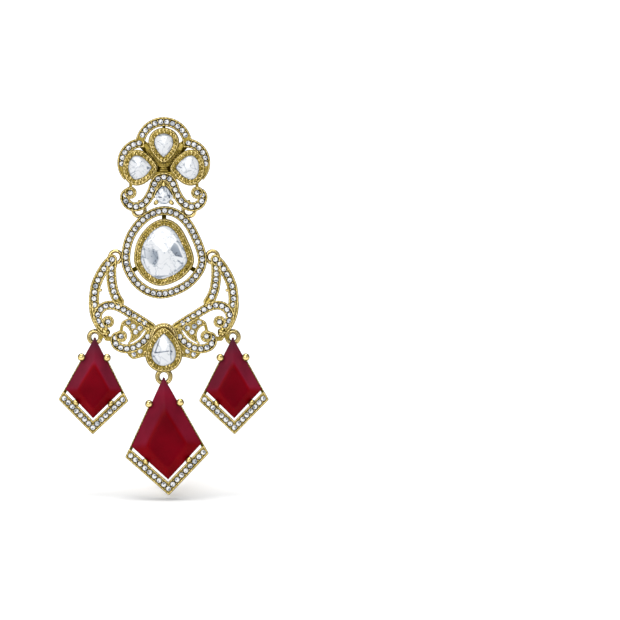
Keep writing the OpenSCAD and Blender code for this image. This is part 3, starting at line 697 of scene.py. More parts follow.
def kite_stone(rim: Array, table: Array, plug: Array, depths: tuple[float, float, float, float],
               smoke: float) -> Shell:
    """A kite stone with four soft slopes up to a flat front.

    Formula: ring(u) = rim + min(u, 1) * (table - rim), then on towards the table's middle, at the
    height edge + (crown - edge) * (u + 1 - sqrt((u - 1)^2 + 0.02)) / 2. Its corners grow rounder
    with u. The tone is painted light and shade: 1 on the front, about 0.76 on the lower slopes,
    about 0.48 less the given lowering on the upper ones, and less at the apex.

    Args:
        rim: Corners of the edge: apex, right, foot, left.
        table: Corners of the flat front.
        plug: Corners of the part behind the edge.
        depths: Depths of the back, the rim's back, the rim's front and the flat front.
        smoke: How much the tone of the upper slopes is lowered.

    Returns:
        The stone.
    """
    back, under, edge, crown = depths
    outer, inner, behind = sampled(rim), smoothed(sampled(table), 26), sampled(plug)
    steps = np.concatenate([np.linspace(0, 1, 15), 1 + np.linspace(0.08, 0.96, 9)])
    slope = np.clip(steps, 0, 1)[:, None, None]
    flat = outer[None] * (1 - slope) + (inner[None] * slope)
    flat = flat + (slope * (1 - slope)) * (smoothed(outer, 3) - outer)[None]
    middle = table.mean(axis=0)
    flat = flat + np.clip(steps - 1, 0, 1)[:, None, None] * (middle - flat)
    height = edge + (crown - edge) * (steps + 1 - np.sqrt((steps - 1) ** 2 + 0.02)) / 2
    height = height - height[0] + edge
    count = len(outer)
    # Painted light and shade for each slope: the upper ones get a pale painted reflection, darkened by the
    # given amount, the lower ones are lighter.
    shades = np.array([0.5 - smoke, 0.78, 0.74, 0.46 - smoke])
    slopes = smoothed(np.repeat(shades, count // 4), 10)
    # Painted shade towards the apex.
    near_apex = np.clip(1 - np.linalg.norm(flat - rim[0], axis=2) / 4.2, 0, 1)
    blend = np.clip((steps - 0.82) / 0.36, 0, 1)[:, None]
    tone = slopes[None, :] * (1 - blend) + blend - 0.35 * near_apex
    layers = [space(behind, back), space(behind, under), space(outer, under + 0.02)]
    layers += [space(ring, depth) for ring, depth in zip(flat, height)]
    points = np.vstack(layers + [space(middle[None], crown), space(middle[None], back)])
    rows, ring = len(layers), np.arange(count)
    fans = [fan((ring + (rows - 1) * count)[::-1], len(points) - 2), fan(ring, len(points) - 1)]
    # Painted shade: the stone's sides and back are toned dark.
    tones = np.concatenate([np.full(3 * count, 0.3), np.clip(tone, 0.02, 1).ravel(), [1.0, 0.3]])
    return Shell(points, grid_quads(rows, count, False, True)[:, ::-1], np.vstack(fans), tones)


# Materials


class Bench:
    """Shorthand for building the nodes of one tree."""

    def __init__(self, tree: bpy.types.NodeTree) -> None:
        """Keeps the tree that the nodes go into."""
        self.tree = tree

    def feed(self, node: bpy.types.Node, values: dict[str, object]) -> None:
        """Gives inputs of a node, by name or number, a value each or the socket that feeds them."""
        for name, value in values.items():
            socket = node.inputs[int(name) if name.isdigit() else name]
            if isinstance(value, bpy.types.NodeSocket):
                self.tree.links.new(value, socket)
            else:
                socket.default_value = value

    def node(self, kind: str, values: dict[str, object] | None = None, **settings: object) -> bpy.types.Node:
        """Adds a node.

        Args:
            kind: Name of the node's type, without its first part.
            values: Values of named or numbered inputs, or the sockets that feed them.
            settings: Settings of the node itself.

        Returns:
            The node.
        """
        made = self.tree.nodes.new("ShaderNode" + kind)
        for name, value in settings.items():
            setattr(made, name, value)
        self.feed(made, values or {})
        return made

    def ramp(self, value: Socket, stops: list[tuple[float, Triple]]) -> Socket:
        """Adds a colour ramp with these stops and returns its colour."""
        made = self.node("ValToRGB", {"Fac": value})
        marks = made.color_ramp.elements
        while len(marks) < len(stops):
            marks.new(0.5)
        for mark, (place, colour) in zip(marks, stops):
            mark.position = place
            mark.color = (*colour, 1.0)
        return made.outputs["Color"]

    def calc(self, kind: str, *terms: object, clamp: bool = False) -> Socket:
        """Adds a math node of these values and returns its result."""
        values = {str(k): term for k, term in enumerate(terms)}
        return self.node("Math", values, operation=kind, use_clamp=clamp).outputs[0]

    def mapped(self, value: Socket, source: tuple[float, float], target: tuple[float, float]) -> Socket:
        """Adds a node that carries the source range to the target range, and returns its result."""
        ends = {"From Min": source[0], "From Max": source[1], "To Min": target[0], "To Max": target[1]}
        return self.node("MapRange", {"Value": value, **ends}).outputs[0]

    def place(self) -> Socket:
        """Adds the object's own coordinates, in metres."""
        return self.node("TexCoord").outputs["Object"]

    def tone(self) -> Socket:
        """Adds the tone that each point of a new piece holds."""
        return self.node("Attribute", attribute_name="tone").outputs["Fac"]


def group(name: str, inputs: dict[str, float], outputs: tuple[str, ...]) -> Bench:
    """Starts a node group.

    Args:
        name: Name of the group.
        inputs: Name and usual value of each input.
        outputs: Names of the value outputs.

    Returns:
        The bench that builds in the group.
    """
    tree = bpy.data.node_groups.new(name, "ShaderNodeTree")
    for label, value in inputs.items():
        socket = tree.interface.new_socket(name=label, in_out="INPUT", socket_type="NodeSocketFloat")
        socket.default_value = value
    for label in outputs:
        tree.interface.new_socket(name=label, in_out="OUTPUT", socket_type="NodeSocketFloat")
    return Bench(tree)


def cast_grain() -> bpy.types.NodeTree:
    """Group for cast and hand-worked metal: slow patches, and fine grain as a height.

    Returns:
        A group with the inputs Patch and Grain, both in waves to the metre, and the outputs
        Patches and Height.
    """
    bench = group("cast_grain", {"Patch": 900.0, "Grain": 5200.0}, ("Patches", "Height"))
    given = bench.tree.nodes.new("NodeGroupInput").outputs
    place = bench.place()
    patches = bench.node("TexNoise", {"Vector": place, "Scale": given["Patch"], "Detail": 3.0})
    grain = bench.node("TexNoise", {"Vector": place, "Scale": given["Grain"], "Detail": 2.0})
    pits = bench.node("TexVoronoi", {"Vector": place, "Scale": given["Grain"]})
    height = bench.calc("MULTIPLY_ADD", pits.outputs["Distance"], 0.5, grain.outputs["Fac"])
    out = bench.tree.nodes.new("NodeGroupOutput")
    bench.feed(out, {"Patches": patches.outputs["Fac"], "Height": height})
    return bench.tree


def veils() -> bpy.types.NodeTree:
    """Group for the clouds and thin lines inside a natural stone.

    Returns:
        A group with the inputs Clouds and Lines, both in waves to the metre, and the outputs
        Cloud and Line, each 0 to 1. A line lies where its noise crosses one half.
    """
    bench = group("veils", {"Clouds": 500.0, "Lines": 420.0}, ("Cloud", "Line"))
    given = bench.tree.nodes.new("NodeGroupInput").outputs
    place = bench.place()
    cloud = bench.node("TexNoise", {"Vector": place, "Scale": given["Clouds"], "Detail": 4.0})
    bent = bench.node("TexNoise", {"Vector": place, "Scale": given["Lines"], "Detail": 3.5,
                                   "Distortion": 1.2})
    off = bench.calc("ABSOLUTE", bench.calc("SUBTRACT", bent.outputs["Fac"], 0.5))
    line = bench.mapped(off, (0.004, 0.03), (1.0, 0.0))
    out = bench.tree.nodes.new("NodeGroupOutput")
    bench.feed(out, {"Cloud": cloud.outputs["Fac"], "Line": line})
    return bench.tree


def blank(name: str) -> tuple[bpy.types.Material, Bench, bpy.types.Node]:
    """A new material with its bench and its Principled shader."""
    made = bpy.data.materials.new(name)
    made.use_nodes = True
    shader = made.node_tree.nodes["Principled BSDF"]
    return made, Bench(made.node_tree), shader


@dataclass(frozen=True)
class AntiqueGold:
    """Yellow gold with a painted highlight on its ridges and painted shade, dark olive, in its recesses.

    Attributes:
        name: Name of the material.
        floor_mm: Depth of the recesses, or None where the metal's own tone attribute is read.
        ridge_mm: Depth of the ridges.
        bright: Colour of the ridges, a painted highlight.
        middle: Colour halfway.
        dark: Colour of the recesses, painted shade.
        edge: Tint where the surface turns away.
        grain: How strongly the grain shows as relief.
    """

    name: str
    floor_mm: float | None = None
    ridge_mm: float = 0.0
    bright: Triple = (0.84, 0.665, 0.29)
    middle: Triple = (0.38, 0.28, 0.058)
    dark: Triple = (0.07, 0.048, 0.001)
    edge: Triple = (0.42, 0.32, 0.09)
    grain: float = 0.3

    def build(self, grain_group: bpy.types.NodeTree) -> bpy.types.Material:
        """Builds the material with the group for cast metal."""
        made, bench, shader = blank(self.name)
        cast = bench.node("Group", node_tree=grain_group).outputs
        # Painted light and shade: the mask is dark in recesses and bright on ridges, by depth or by the
        # piece's tone.
        height = bench.tone() if self.floor_mm is None else self.height_by_depth(bench)
        mottled = bench.calc("MULTIPLY_ADD", cast["Patches"], 0.4, -0.2)
        mask = bench.calc("ADD", height, mottled, clamp=True)
        relief = bench.node("Bump", {"Height": cast["Height"], "Strength": self.grain, "Distance": 0.00003})
        bench.feed(shader, {
            "Base Color": bench.ramp(mask, [(0.5, self.dark), (0.76, self.middle), (0.98, self.bright)]),
            "Roughness": bench.mapped(mask, (0.5, 1.0), (0.5, 0.22)),
            "Normal": relief.outputs[0],
            "Metallic": 1.0,
            "Specular Tint": (*self.edge, 1.0),
        })
        return made

    def height_by_depth(self, bench: Bench) -> Socket:
        """Painted shade of a CAD node's metal: darker the further back its front surface lies, and lighter
        where it turns to face the back.
        """
        y = bench.node("SeparateXYZ", {"Vector": bench.place()}).outputs["Y"]
        rise = bench.mapped(y, (-self.floor_mm * MM, -self.ridge_mm * MM), (0.0, 0.73))
        normal = bench.node("NewGeometry").outputs["True Normal"]
        turned = bench.node("SeparateXYZ", {"Vector": normal}).outputs["Y"]
        return bench.calc("MAXIMUM", rise, bench.mapped(turned, (0.1, 0.6), (0.0, 0.85)))


@dataclass(frozen=True)
class ClearStone:
    """White stone over foil: each facet has its own tone, a painted reflection from white to blue-grey.

    Attributes:
        name: Name of the material.
        white: Colour of the light facets.
        grey: Colour between.
        night: Colour of the darkest facets, a painted dark reflection.
        lines: How strongly the thin lines inside show.
        clouds: How strongly the clouds inside show.
    """

    name: str
    white: Triple = (0.93, 0.945, 0.97)
    grey: Triple = (0.44, 0.49, 0.56)
    night: Triple = (0.05, 0.06, 0.09)
    lines: float = 0.25
    clouds: float = 0.15

    def build(self, veil_group: bpy.types.NodeTree) -> bpy.types.Material:
        """Builds the material with the group for clouds and lines."""
        made, bench, shader = blank(self.name)
        inside_it = bench.node("Group", node_tree=veil_group).outputs
        # The tone attribute carries the painted reflections; the lines and clouds inside are the stone's own.
        lined = bench.calc("MULTIPLY_ADD", inside_it["Line"], -self.lines, bench.tone())
        clouded = bench.calc("MULTIPLY_ADD", inside_it["Cloud"], self.clouds, -self.clouds / 2)
        mask = bench.calc("ADD", lined, clouded, clamp=True)
        colour = bench.ramp(mask, [(0.05, self.night), (0.5, self.grey), (0.9, self.white)])
        bench.feed(shader, {"Base Color": colour, "Roughness": 0.08, "IOR": 1.7, "Metallic": 0.0})
        return made


@dataclass(frozen=True)
class SatinRuby:
    """Opaque deep red stone with a satin skin and clouds, paler on its upper slopes as a painted reflection
    and darker at its apex as painted shade.

    Attributes:
        name: Name of the material.
        apex: Colour at the apex, painted shade.
        pale: Colour of the upper slopes, a painted reflection of white light.
        low: Colour of the lower slopes, painted a little lighter than the front.
        red: Colour of the flat front.
    """

    name: str
    apex: Triple = (0.085, 0.018, 0.033)
    pale: Triple = (0.215, 0.009, 0.028)
    low: Triple = (0.21, 0.0004, 0.004)
    red: Triple = (0.168, 0.0004, 0.006)

    def build(self, veil_group: bpy.types.NodeTree) -> bpy.types.Material:
        """Builds the material with the group for clouds and lines."""
        made, bench, shader = blank(self.name)
        waves = {"Clouds": 160.0, "Lines": 120.0}
        cloud = bench.node("Group", waves, node_tree=veil_group).outputs["Cloud"]
        # Painted light: the tone picks shade at the apex, a pale reflection on the upper slopes, lighter
        # lower slopes and the front's red.
        stops = [(0.02, self.apex), (0.45, self.pale), (0.75, self.low), (0.95, self.red)]
        shade = bench.mapped(cloud, (0.3, 0.7), (0.72, 1.1))
        colour = bench.ramp(bench.tone(), stops)
        body = bench.node("VectorMath", {"0": colour, "1": shade}, operation="MULTIPLY")
        relief = bench.node("Bump", {"Height": cloud, "Strength": 0.08, "Distance": 0.0002})
        bench.feed(shader, {
            "Base Color": body.outputs[0],
            "Roughness": bench.mapped(cloud, (0.0, 1.0), (0.26, 0.4)),
            "Normal": relief.outputs[0],
            "IOR": 1.38,
            "Specular IOR Level": 0.05,
        })
        return made


class Palette:
    """The materials of the earring, built once."""

    def __init__(self) -> None:
        """Builds the shared groups and the finishes of the new pieces."""
        self.grain = cast_grain()
        self.veil = veils()
        polki = ClearStone(Finish.POLKI.value, white=(0.83, 0.85, 0.88), grey=(0.34, 0.39, 0.46),
                           lines=0.34, clouds=0.22)
        self.made: dict[Finish, bpy.types.Material] = {
            Finish.WORKED: AntiqueGold(Finish.WORKED.value).build(self.grain),
            Finish.POLKI: polki.build(self.veil),
            Finish.DIAMOND: ClearStone(Finish.DIAMOND.value, lines=0.0, clouds=0.0).build(self.veil),
            Finish.RUBY: SatinRuby(Finish.RUBY.value).build(self.veil),
        }

    def cast(self, name: str, floor_mm: float, ridge_mm: float) -> bpy.types.Material:
        """Antique gold for a CAD node whose recesses and ridges lie at these depths."""
        return AntiqueGold(name, floor_mm, ridge_mm).build(self.grain)


def piece(name: str, shell: Shell, finish: Finish, palette: Palette, body: str, smooth: bool = True,
          stands_for: tuple[str, ...] = ()) -> None:
    """Makes a piece of the earring from a surface.

    Args:
        name: Name of the piece.
        shell: Its surface.
        finish: Its finish.
        palette: The materials.
        body: The CAD body that it rides on.
        smooth: Whether its faces are shaded smooth.
        stands_for: CAD nodes that it replaces.
    """
    mesh = bpy.data.meshes.new(name)
    faces = [*shell.quads.tolist(), *shell.tris.tolist()]
    mesh.from_pydata((shell.points * MM).tolist(), [], faces)
    mesh.attributes.new("tone", "FLOAT", "POINT").data.foreach_set("value", shell.tone.astype(np.float32))
    mesh.polygons.foreach_set("use_smooth", np.full(len(faces), smooth))
    mesh.materials.append(palette.made[finish])
    mesh.update()
    made = bpy.data.objects.new(name, mesh)
    bpy.context.scene.collection.objects.link(made)
    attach(made, body)
    if stands_for:
        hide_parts(*stands_for)
    LOG.info("%s: %d points, %d faces, rides on %s", name, len(shell.points), len(faces), body)


def worked(pieces: dict[str, Shell], palette: Palette, body: str) -> None:
    """Makes pieces of worked gold from surfaces, each under its name."""
    for name, shell in pieces.items():
        piece(name, shell, Finish.WORKED, palette, body)


def dress(frame: dict, node: str, material: bpy.types.Material) -> None:
    """Gives a CAD node its material."""
    made = frame["nodes"][node]
    made.data.materials.clear()
    made.data.materials.append(material)


def stone_places(frame: dict, node: str) -> Array:
    """Middles of the small stones of a CAD node, from the points at their backs.

    Args:
        node: The CAD node.

    Returns:
        One [x, z] for each stone, in millimetres.
    """
    mesh = frame["nodes"][node].data
    co = np.zeros(len(mesh.vertices) * 3, np.float32)
    mesh.vertices.foreach_get("co", co)
    points = co.reshape(-1, 3).astype(float) / MM
    tips = points[points[:, 1] > points[:, 1].max() - 0.002]
    return np.unique(np.round(tips[:, [0, 2]], 2), axis=0)


def girdle_depth(node: str) -> float:
    """Depth of the girdles of a CAD node's small stones, in millimetres."""
    low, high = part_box(node)
    return -high.y / MM + (high.y - low.y) / MM * 0.68


# Shared trim


@dataclass(frozen=True)
class Trim:
    """Sizes of the worked trim that every jewelled band has, in millimetres.

    Attributes:
        rim_w: Width of a rolled rim.
        rim_rise: Height of a rolled rim.
        rim_in: Distance of a rim's middle from the band's edge.
        step: Distance between the rings of a swept surface.
        ripple: How strongly a rim is beaded.
        ripple_pitch: Length of one bead of a rim.
        claw_r: Radius of a bead between two stones.
        stone_r: Radius of a small stone.
        reach: Largest distance of two stones that share beads.
        end_share: Radius of a curl's round end, as a share of its band's width.
        proud: Height of a laid wire over the CAD's own.
    """

    rim_w: float = 0.46
    rim_rise: float = 0.42
    rim_in: float = 0.17
    step: float = 0.1
    ripple: float = 0.04
    ripple_pitch: float = 0.86
    claw_r: float = 0.2
    stone_r: float = 0.57
    reach: float = 1.62
    end_share: float = 0.68
    proud: float = 0.015

    def rim(self, line: Array, depth: float, closed: bool = True, width: float | None = None) -> Shell:
        """Rolled rim along a line.

        Formula: half an ellipse along the line, lifted by ripple * cos(2 pi s / pitch). The tone
        falls from its crest to its flanks as the power 1.3 of their height, a painted highlight on
        the crest and painted shade on the flanks, and a little darker in the ripple's hollows.

        Args:
            line: Middle line of the rim.
            depth: Depth of its middle.
            closed: Whether the line returns to its start.
            width: Width, where it isn't the usual one.

        Returns:
            The rim.
        """
        line = even(line, self.step, closed)
        run = lengths(line, closed)[: len(line)]
        profile = rim_profile(width or self.rim_w, self.rim_rise)
        wave = np.cos(2 * math.pi * run / self.ripple_pitch)
        shell = sweep(line, depth + self.ripple * wave, profile, closed)
        count = len(line) * len(profile)
        # Painted shade: darker in the ripple's hollows and on the flanks, a painted highlight on the crest.
        shade = np.repeat(0.93 + 0.07 * wave, len(profile))
        shell.tone[:count] = np.clip(2 * shell.tone[:count] - 1, 0, 1) ** 1.3 * shade
        return shell

    def band(self, line: Array, width: float, depth: float) -> Shell:
        """Rolled rim all round a band."""
        return self.rim(stadium(line, width / 2 - self.rim_in, self.step), depth)

    def curl_end(self, centre: Pair, band_w: float, rim_top: float) -> Shell:
        """Rolled rim round the stone of a curl's end, and a low ring between the two toned dark as painted
        shade.
        """
        rim = self.rim(circle(centre, band_w * self.end_share - self.rim_in, 59), rim_top + 0.06)
        groove = sweep(circle(centre, 0.8, 48), rim_top + 0.02, rim_profile(0.5, 0.1), True)
        # Painted shade: the low ring is toned almost black.
        return joined([rim, groove.toned(0.1)])

    def claws(self, centres: Array, depth: float, out: float = 0.43, keep: float = 0.66) -> Shell:
        """Beads in pairs between neighbouring stones, which hold both.

        Formula: at the middle of two stones less than `reach` apart, moved `out` to either side.

        Args:
            centres: Middles of the stones.
            depth: Depth of the beads' middles.
            out: Distance of a bead from the line between its two stones.
            keep: Least distance of a bead from any stone's middle.

        Returns:
            All beads.
        """
        gap = centres[:, None, :] - centres[None, :, :]
        far = np.linalg.norm(gap, axis=2)
        i, j = np.nonzero(np.triu((far < self.reach) & (far > 0.1)))
        middle = (centres[i] + centres[j]) / 2
        across = left_of((centres[j] - centres[i]) / far[i, j][:, None])
        beads = np.vstack([middle + out * across, middle - out * across])
        beads = beads[nearest(beads, centres) > keep]
        apart = np.linalg.norm(beads[:, None, :] - beads[None, :, :], axis=2)
        twin = (np.triu(apart < 0.2, 1)).any(axis=0)
        return scattered(dome(tall=1.1), space(beads[~twin], depth), self.claw_r)


TRIM = Trim()


@dataclass(frozen=True)
class Lip:
    """A hammered bezel lip round a stone.

    Attributes:
        width: Width of the bezel.
        depth: Depth of the bezel's top.
        height: Height of the lip above that.
        rows: Rows of grains across the lip.
        pitch: Distance from grain to grain.
        grain: Height of a grain.
        seed: Start of the random draws.
    """

    width: float
    depth: float
    height: float = 0.3
    rows: tuple[float, ...] = (0.26, 0.58)
    pitch: float = 0.86
    grain: float = 0.31
    seed: int = 1

    def build(self, outline: Array) -> Shell:
        """Builds the lip round a stone.

        Formula: a rolled profile along the outline moved out by half the width, and grains at
        even steps of each row, moved and sized a little at random.

        Args:
            outline: Outline of the stone, anticlockwise.

        Returns:
            The lip.
        """
        draw = np.random.default_rng(self.seed)
        line = rounded(outline, self.width / 2 + 0.02, 0.14)
        profile = lip_profile(self.width - 0.02, self.height, count=12)
        # Painted shade: the lip's rolled body is toned darker than its grains.
        parts = [sweep(line, self.depth, profile, True).toned(0.76)]
        for row, place in enumerate(self.rows):
            path = even(rounded(outline, self.width * place, 0.14), self.pitch, closed=True)
            count = len(path)
            way = headings(path, closed=True)
            along = self.pitch * (0.5 * (row % 2) + 0.3 * (draw.random(count) - 0.5))
            across = 0.12 * (draw.random(count) - 0.5)
            at = path + along[:, None] * way + across[:, None] * left_of(way)
            size = self.grain * (0.82 + 0.42 * draw.random(count))
            rise = self.depth + self.height * 0.5 + 0.08 * draw.random(count)
            grains = scattered(dome(8, 3, 1.05), space(at, rise), size)
            grains.tone = np.clip(grains.tone * np.repeat(0.72 + 0.34 * draw.random(count), 26), 0, 1)
            parts.append(grains)
        return joined(parts)


@dataclass(frozen=True)
class Wire:
    """A ring of round wire, laid a little proud over the CAD's own.

    Attributes:
        centre: Its middle, as [x, z].
        radius: Radius to the middle of the wire.
        wire: Thickness of the wire.
        depth: Depth of its middle.
    """

    centre: Pair
    radius: float = 0.84
    wire: float = 0.6
    depth: float = -0.32

    def ring(self) -> Shell:
        """The ring facing the front: a circle carried along a circle in the plane of the face."""
        path = space(circle(self.centre, self.radius, 48), self.depth)
        return tube(path, self.wire / 2 + TRIM.proud, 12, closed=True)

    def loop(self) -> Shell:
        """The ring square to the front: the same circle, turned about the upright."""
        y, z = circle((-self.depth, self.centre[1]), self.radius, 36).T
        path = np.stack([np.full(len(y), self.centre[0]), y, z], axis=1)
        made = tube(path, self.wire / 2 + TRIM.proud, 10, closed=True, up=np.array([1.0, 0.0, 0.0]))
        # Painted light: lighter towards the front of the loop, darker behind.
        made.tone = np.clip((-made.points[:, 1] - self.depth) / (2 * self.radius) * 0.8 + 0.62, 0.15, 1)
        return made


def set_row(frame: dict, palette: Palette, node: str, body: str, rim_top: float, seed: int) -> None:
    """Sets the small stones of a CAD node anew, with the beads that hold them.

    Args:
        palette: The materials.
        node: The CAD node with the stones.
        body: The body that they ride on.
        rim_top: Depth of the rims beside them.
        seed: Start of the random draws.
    """
    centres = stone_places(frame, node)
    stones = pave(space(centres, girdle_depth(node)), TRIM.stone_r, seed)
    piece("stones_" + node, stones, Finish.DIAMOND, palette, body, False, (node,))
    piece("beads_" + node, TRIM.claws(centres, rim_top - 0.02), Finish.WORKED, palette, body)


@dataclass
class Layer:
    """A jewelled layer of the earring. Sizes are the CAD model's.

    Attributes:
        body: The CAD body that it rides on.
        back: Depth of its back.
        base: Thickness of its plate.
        rim: Height of its rims over the plate.
        bezel: Height of its bezels over the plate.
    """

    body: str
    back: float
    base: float = 1.2
    rim: float = 0.55
    bezel: float = 1.5

    @property
    def front(self) -> float:
        """Depth of the plate's front."""
        return self.back + self.base

    @property
    def rim_top(self) -> float:
        """Depth of the rims' tops."""
        return self.front + self.rim

    @property
    def rim_mid(self) -> float:
        """Depth of the middles of the rolled rims."""
        return self.rim_top - 0.06

    @property
    def lip_top(self) -> float:
        """Depth of the bezels' tops."""
        return self.front + self.bezel

    def gold(self, palette: Palette, name: str) -> bpy.types.Material:
        """Antique gold for the layer's CAD metal."""
        return palette.cast(name, self.front - 0.08, self.rim_top)

    def cut(self, outline: Array, cut: Cut, rise: float, rings: int) -> Shell:
        """A flat-cut stone in its bezel, with its height as a share of the bezel's."""
        return flat_cut(outline, self.front + 0.06, self.bezel * rise, cut, rings)


# Flower and scroll


@dataclass
class FlowerHead(Layer):
    """Flower, scroll and the small arch setting, on the body top."""

    body: str = "top"
    back: float = 0.6
    lobe_r: float = 6.6
    lobe_rise: float = 2.8
    side_r: float = 5.63
    side_out: float = 5.12
    side_drop: float = 1.16
    border_w: float = 2.05
    bezel_w: float = 1.15
    scroll_out: float = 10.0
    scroll_l: float = 8.95
    scroll_drop: float = 3.44
    scroll_w: float = 2.05
    loop_out: float = 5.8
    loop_z: float = -10.83
    hub: Pair = (0.0, -2.3)
    upper_z: float = 2.85
    rope_top: float = 2.1
    rope_pitch: float = 1.15
    rope_r: float = 0.17
    rope_gaps: tuple[Pair, ...] = ((0.46, 0.0), (1.0, 0.12))
    scroll_shares: tuple[Pair, ...] = (
        (0, 0.117), (0.128, 0.156), (0.214, 0.286), (0.263, 0.442), (0.319, 0.582), (0.398, 0.722),
        (0.5, 0.831), (0.626, 0.886), (0.76, 0.87), (0.867, 0.772), (0.907, 0.629), (0.856, 0.53),
        (0.774, 0.522))

    def __post_init__(self) -> None:
        """Works out the outlines that several pieces share."""
        self.upper = pear(4.4, 5.5, (0, self.upper_z), 180)
        self.left = pear(5.6, 5.4, (-5.5, -2.3), -90)
        self.right = pear(5.6, 5.4, (5.5, -2.3), 90)
        self.petals = (self.upper, self.left, self.right)
        self.arch_z = -self.scroll_drop - self.scroll_l * 0.58
        self.arch = pear(3.8, 4.4, (0, self.arch_z), 0)
        half = np.array(self.scroll_shares) * [self.scroll_out, -self.scroll_l] - [0, self.scroll_drop]
        self.scroll_end = half[-1]
        self.scroll = catmull(np.vstack([mirrored(half)[::-1], half[1:]]), 6)

    def trefoil(self, inwards: float) -> Array:
        """Outer line of the three lobes, moved inwards, from the left foot over the top to the right.

        Formula: three arcs, cut where the upper circle meets the side ones.

        Args:
            inwards: Distance from the outer edge.

        Returns:
            The line's points.
        """
        upper_r, side_r = self.lobe_r - inwards, self.side_r - inwards
        dx, dz = self.side_out, -self.side_drop - self.lobe_rise
        gap = math.hypot(dx, dz)
        along = (upper_r**2 - side_r**2 + gap**2) / (2 * gap)
        off = math.sqrt(max(upper_r**2 - along**2, 0))
        meet = np.array([dx * along - dz * off, dz * along + dx * off]) / gap + [0, self.lobe_rise]
        a_up = math.degrees(math.atan2(meet[1] - self.lobe_rise, meet[0]))
        a_side = math.degrees(math.atan2(meet[1] + self.side_drop, meet[0] - self.side_out))
        foot = math.degrees(math.asin(np.clip((-5 + self.side_drop) / side_r, -1, 1)))
        side = arc((self.side_out, -self.side_drop), side_r, foot, a_side)
        top = arc((0, self.lobe_rise), upper_r, a_up, 180 - a_up)
        return np.vstack([side, top[1:-1], mirrored(side)[::-1]])

    def rims(self) -> Shell:
        """Rolled rims of the border, the scroll and its curled ends."""
        border = [self.trefoil(inwards) for inwards in (TRIM.rim_in, self.border_w - TRIM.rim_in)]
        ends = (self.scroll_end, mirrored(self.scroll_end))
        return joined([TRIM.rim(line, self.rim_mid, closed=False) for line in border]
                      + [TRIM.band(self.scroll, self.scroll_w, self.rim_mid)]
                      + [TRIM.curl_end(end, self.scroll_w, self.rim_top) for end in ends])

    def foot_wires(self) -> Shell:
        """Smooth wires round the feet of the three bezels, and two pointed ones over the arch stone."""
        parts = [TRIM.rim(rounded(o, self.bezel_w + 0.08), self.front + 0.5, width=0.34) for o in self.petals]
        for gap, rise, width in ((0.36, 0.1, 0.44), (0.86, -0.16, 0.36)):
            hood = rounded(self.arch, gap)
            hood = hood[hood[:, 1] > self.arch_z - 0.9]
            hood = hood[np.argsort(hood[:, 0])]
            parts.append(TRIM.rim(hood, self.rim_top + rise, closed=False, width=width))
        return joined(parts)

    def loops(self) -> Shell:
        """Bright wires of the two loops that hold the halo's rings."""
        return joined([Wire((x, self.loop_z)).loop() for x in (-self.loop_out, self.loop_out)])

    def lips(self) -> Shell:
        """Hammered lips of the three flower stones, each with a smooth outer wire."""
        width, top = self.bezel_w - 0.05, self.lip_top
        grained = [Lip(width, top - 0.2, seed=seed).build(o) for seed, o in enumerate(self.petals, 3)]
        return joined(grained + [TRIM.rim(rounded(o, self.bezel_w - 0.14), top - 0.02) for o in self.petals])

    def ropes(self) -> Shell:
        """Two twisted ropes that hang round the upper bezel, from valley to valley, on metal toned dark as
        painted shade.

        Formula: a rope's two strands wind round the bezel's outline moved out by the gap. At the run s
        they lie 0.14 cos a beside it and 0.15 sin a before it, with a = 2 pi s / pitch, plus pi for
        the second.
        """
        strands = []
        for gap, sink in self.rope_gaps:
            line = rounded(self.upper, self.bezel_w + gap)
            line = line[line[:, 1] < self.rope_top]
            line = line[np.argsort(np.arctan2(line[:, 1] - self.upper_z, line[:, 0]))]
            line = even(line, 0.07)
            for start in (0, math.pi):
                a = 2 * math.pi * lengths(line) / self.rope_pitch + start
                path = line + 0.14 * np.cos(a)[:, None] * left_of(headings(line))
                depth = self.front + 1.0 - sink + 0.15 * np.sin(a)
                strands.append(tube(space(path, depth), self.rope_r, 7))
        # Painted shade: the strands are toned darker than the rims.
        return joined([joined(strands).toned(0.78), self.rope_bed()])

    def rope_bed(self) -> Shell:
        """Metal under the ropes, toned dark as painted shade: a strap on each side of the upper bezel, and a
        bar at its foot.
        """
        straps = [even(np.array([[side * 5.1, 3.4], [side * 0.3, -2.15]]), 0.2) for side in (-1, 1)]
        bar = np.array([[-1.7, -2.75], [0.0, -2.6], [1.7, -2.75]])
        swept = [sweep(strap, self.rim_top - 0.12, lip_profile(2.0, 0.22), False) for strap in straps]
        # Painted shade: the straps and the bar are toned dark.
        return joined(swept + [sweep(bar, self.rim_top - 0.1, lip_profile(1.5, 0.22), False)]).toned(0.45)

    def hub_knot(self) -> Shell:
        """Small binding where the ropes meet: three short bars.

        Formula: for t from -1 to 1, tubes that sink by 0.3 t^2 and bend away from the middle by 0.1 t^2.
        """
        x, z = self.hub
        t = np.linspace(-1, 1, 15)
        bars = []
        for dz, half in ((0.25, 0.95), (-0.2, 0.8), (-0.62, 0.95)):
            line = np.stack([x + half * t, z + dz + 0.1 * t**2 * np.sign(dz)], axis=1)
            bars.append(tube(space(line, self.front + 1.15 - 0.3 * t**2), 0.2, 8))
        # Painted shade: the binding is toned a little darker.
        return joined(bars).toned(0.8)

    def arch_claws(self) -> Shell:
        """Claws at the arch stone's point and lower corners, each with a round head."""
        parts = []
        t = np.linspace(0, 1, 9)
        for share in (0.0, 0.375, 0.625):
            p = self.arch[int(share * len(self.arch))]
            way = unit(p - [0, self.arch_z])
            line = p + way * (0.5 - 0.55 * t**2)[:, None]
            path = space(line, self.front + 0.2 + 1.25 * np.sin(t * math.pi / 2))
            parts.append(tube(path, 0.4 - 0.12 * t, 8, up=np.array([way[1], 0.0, -way[0]])))
            parts.append(scattered(dome(12, 5), space((p + way * 0.22)[None], self.front + 1.3), 0.52))
        return joined(parts)

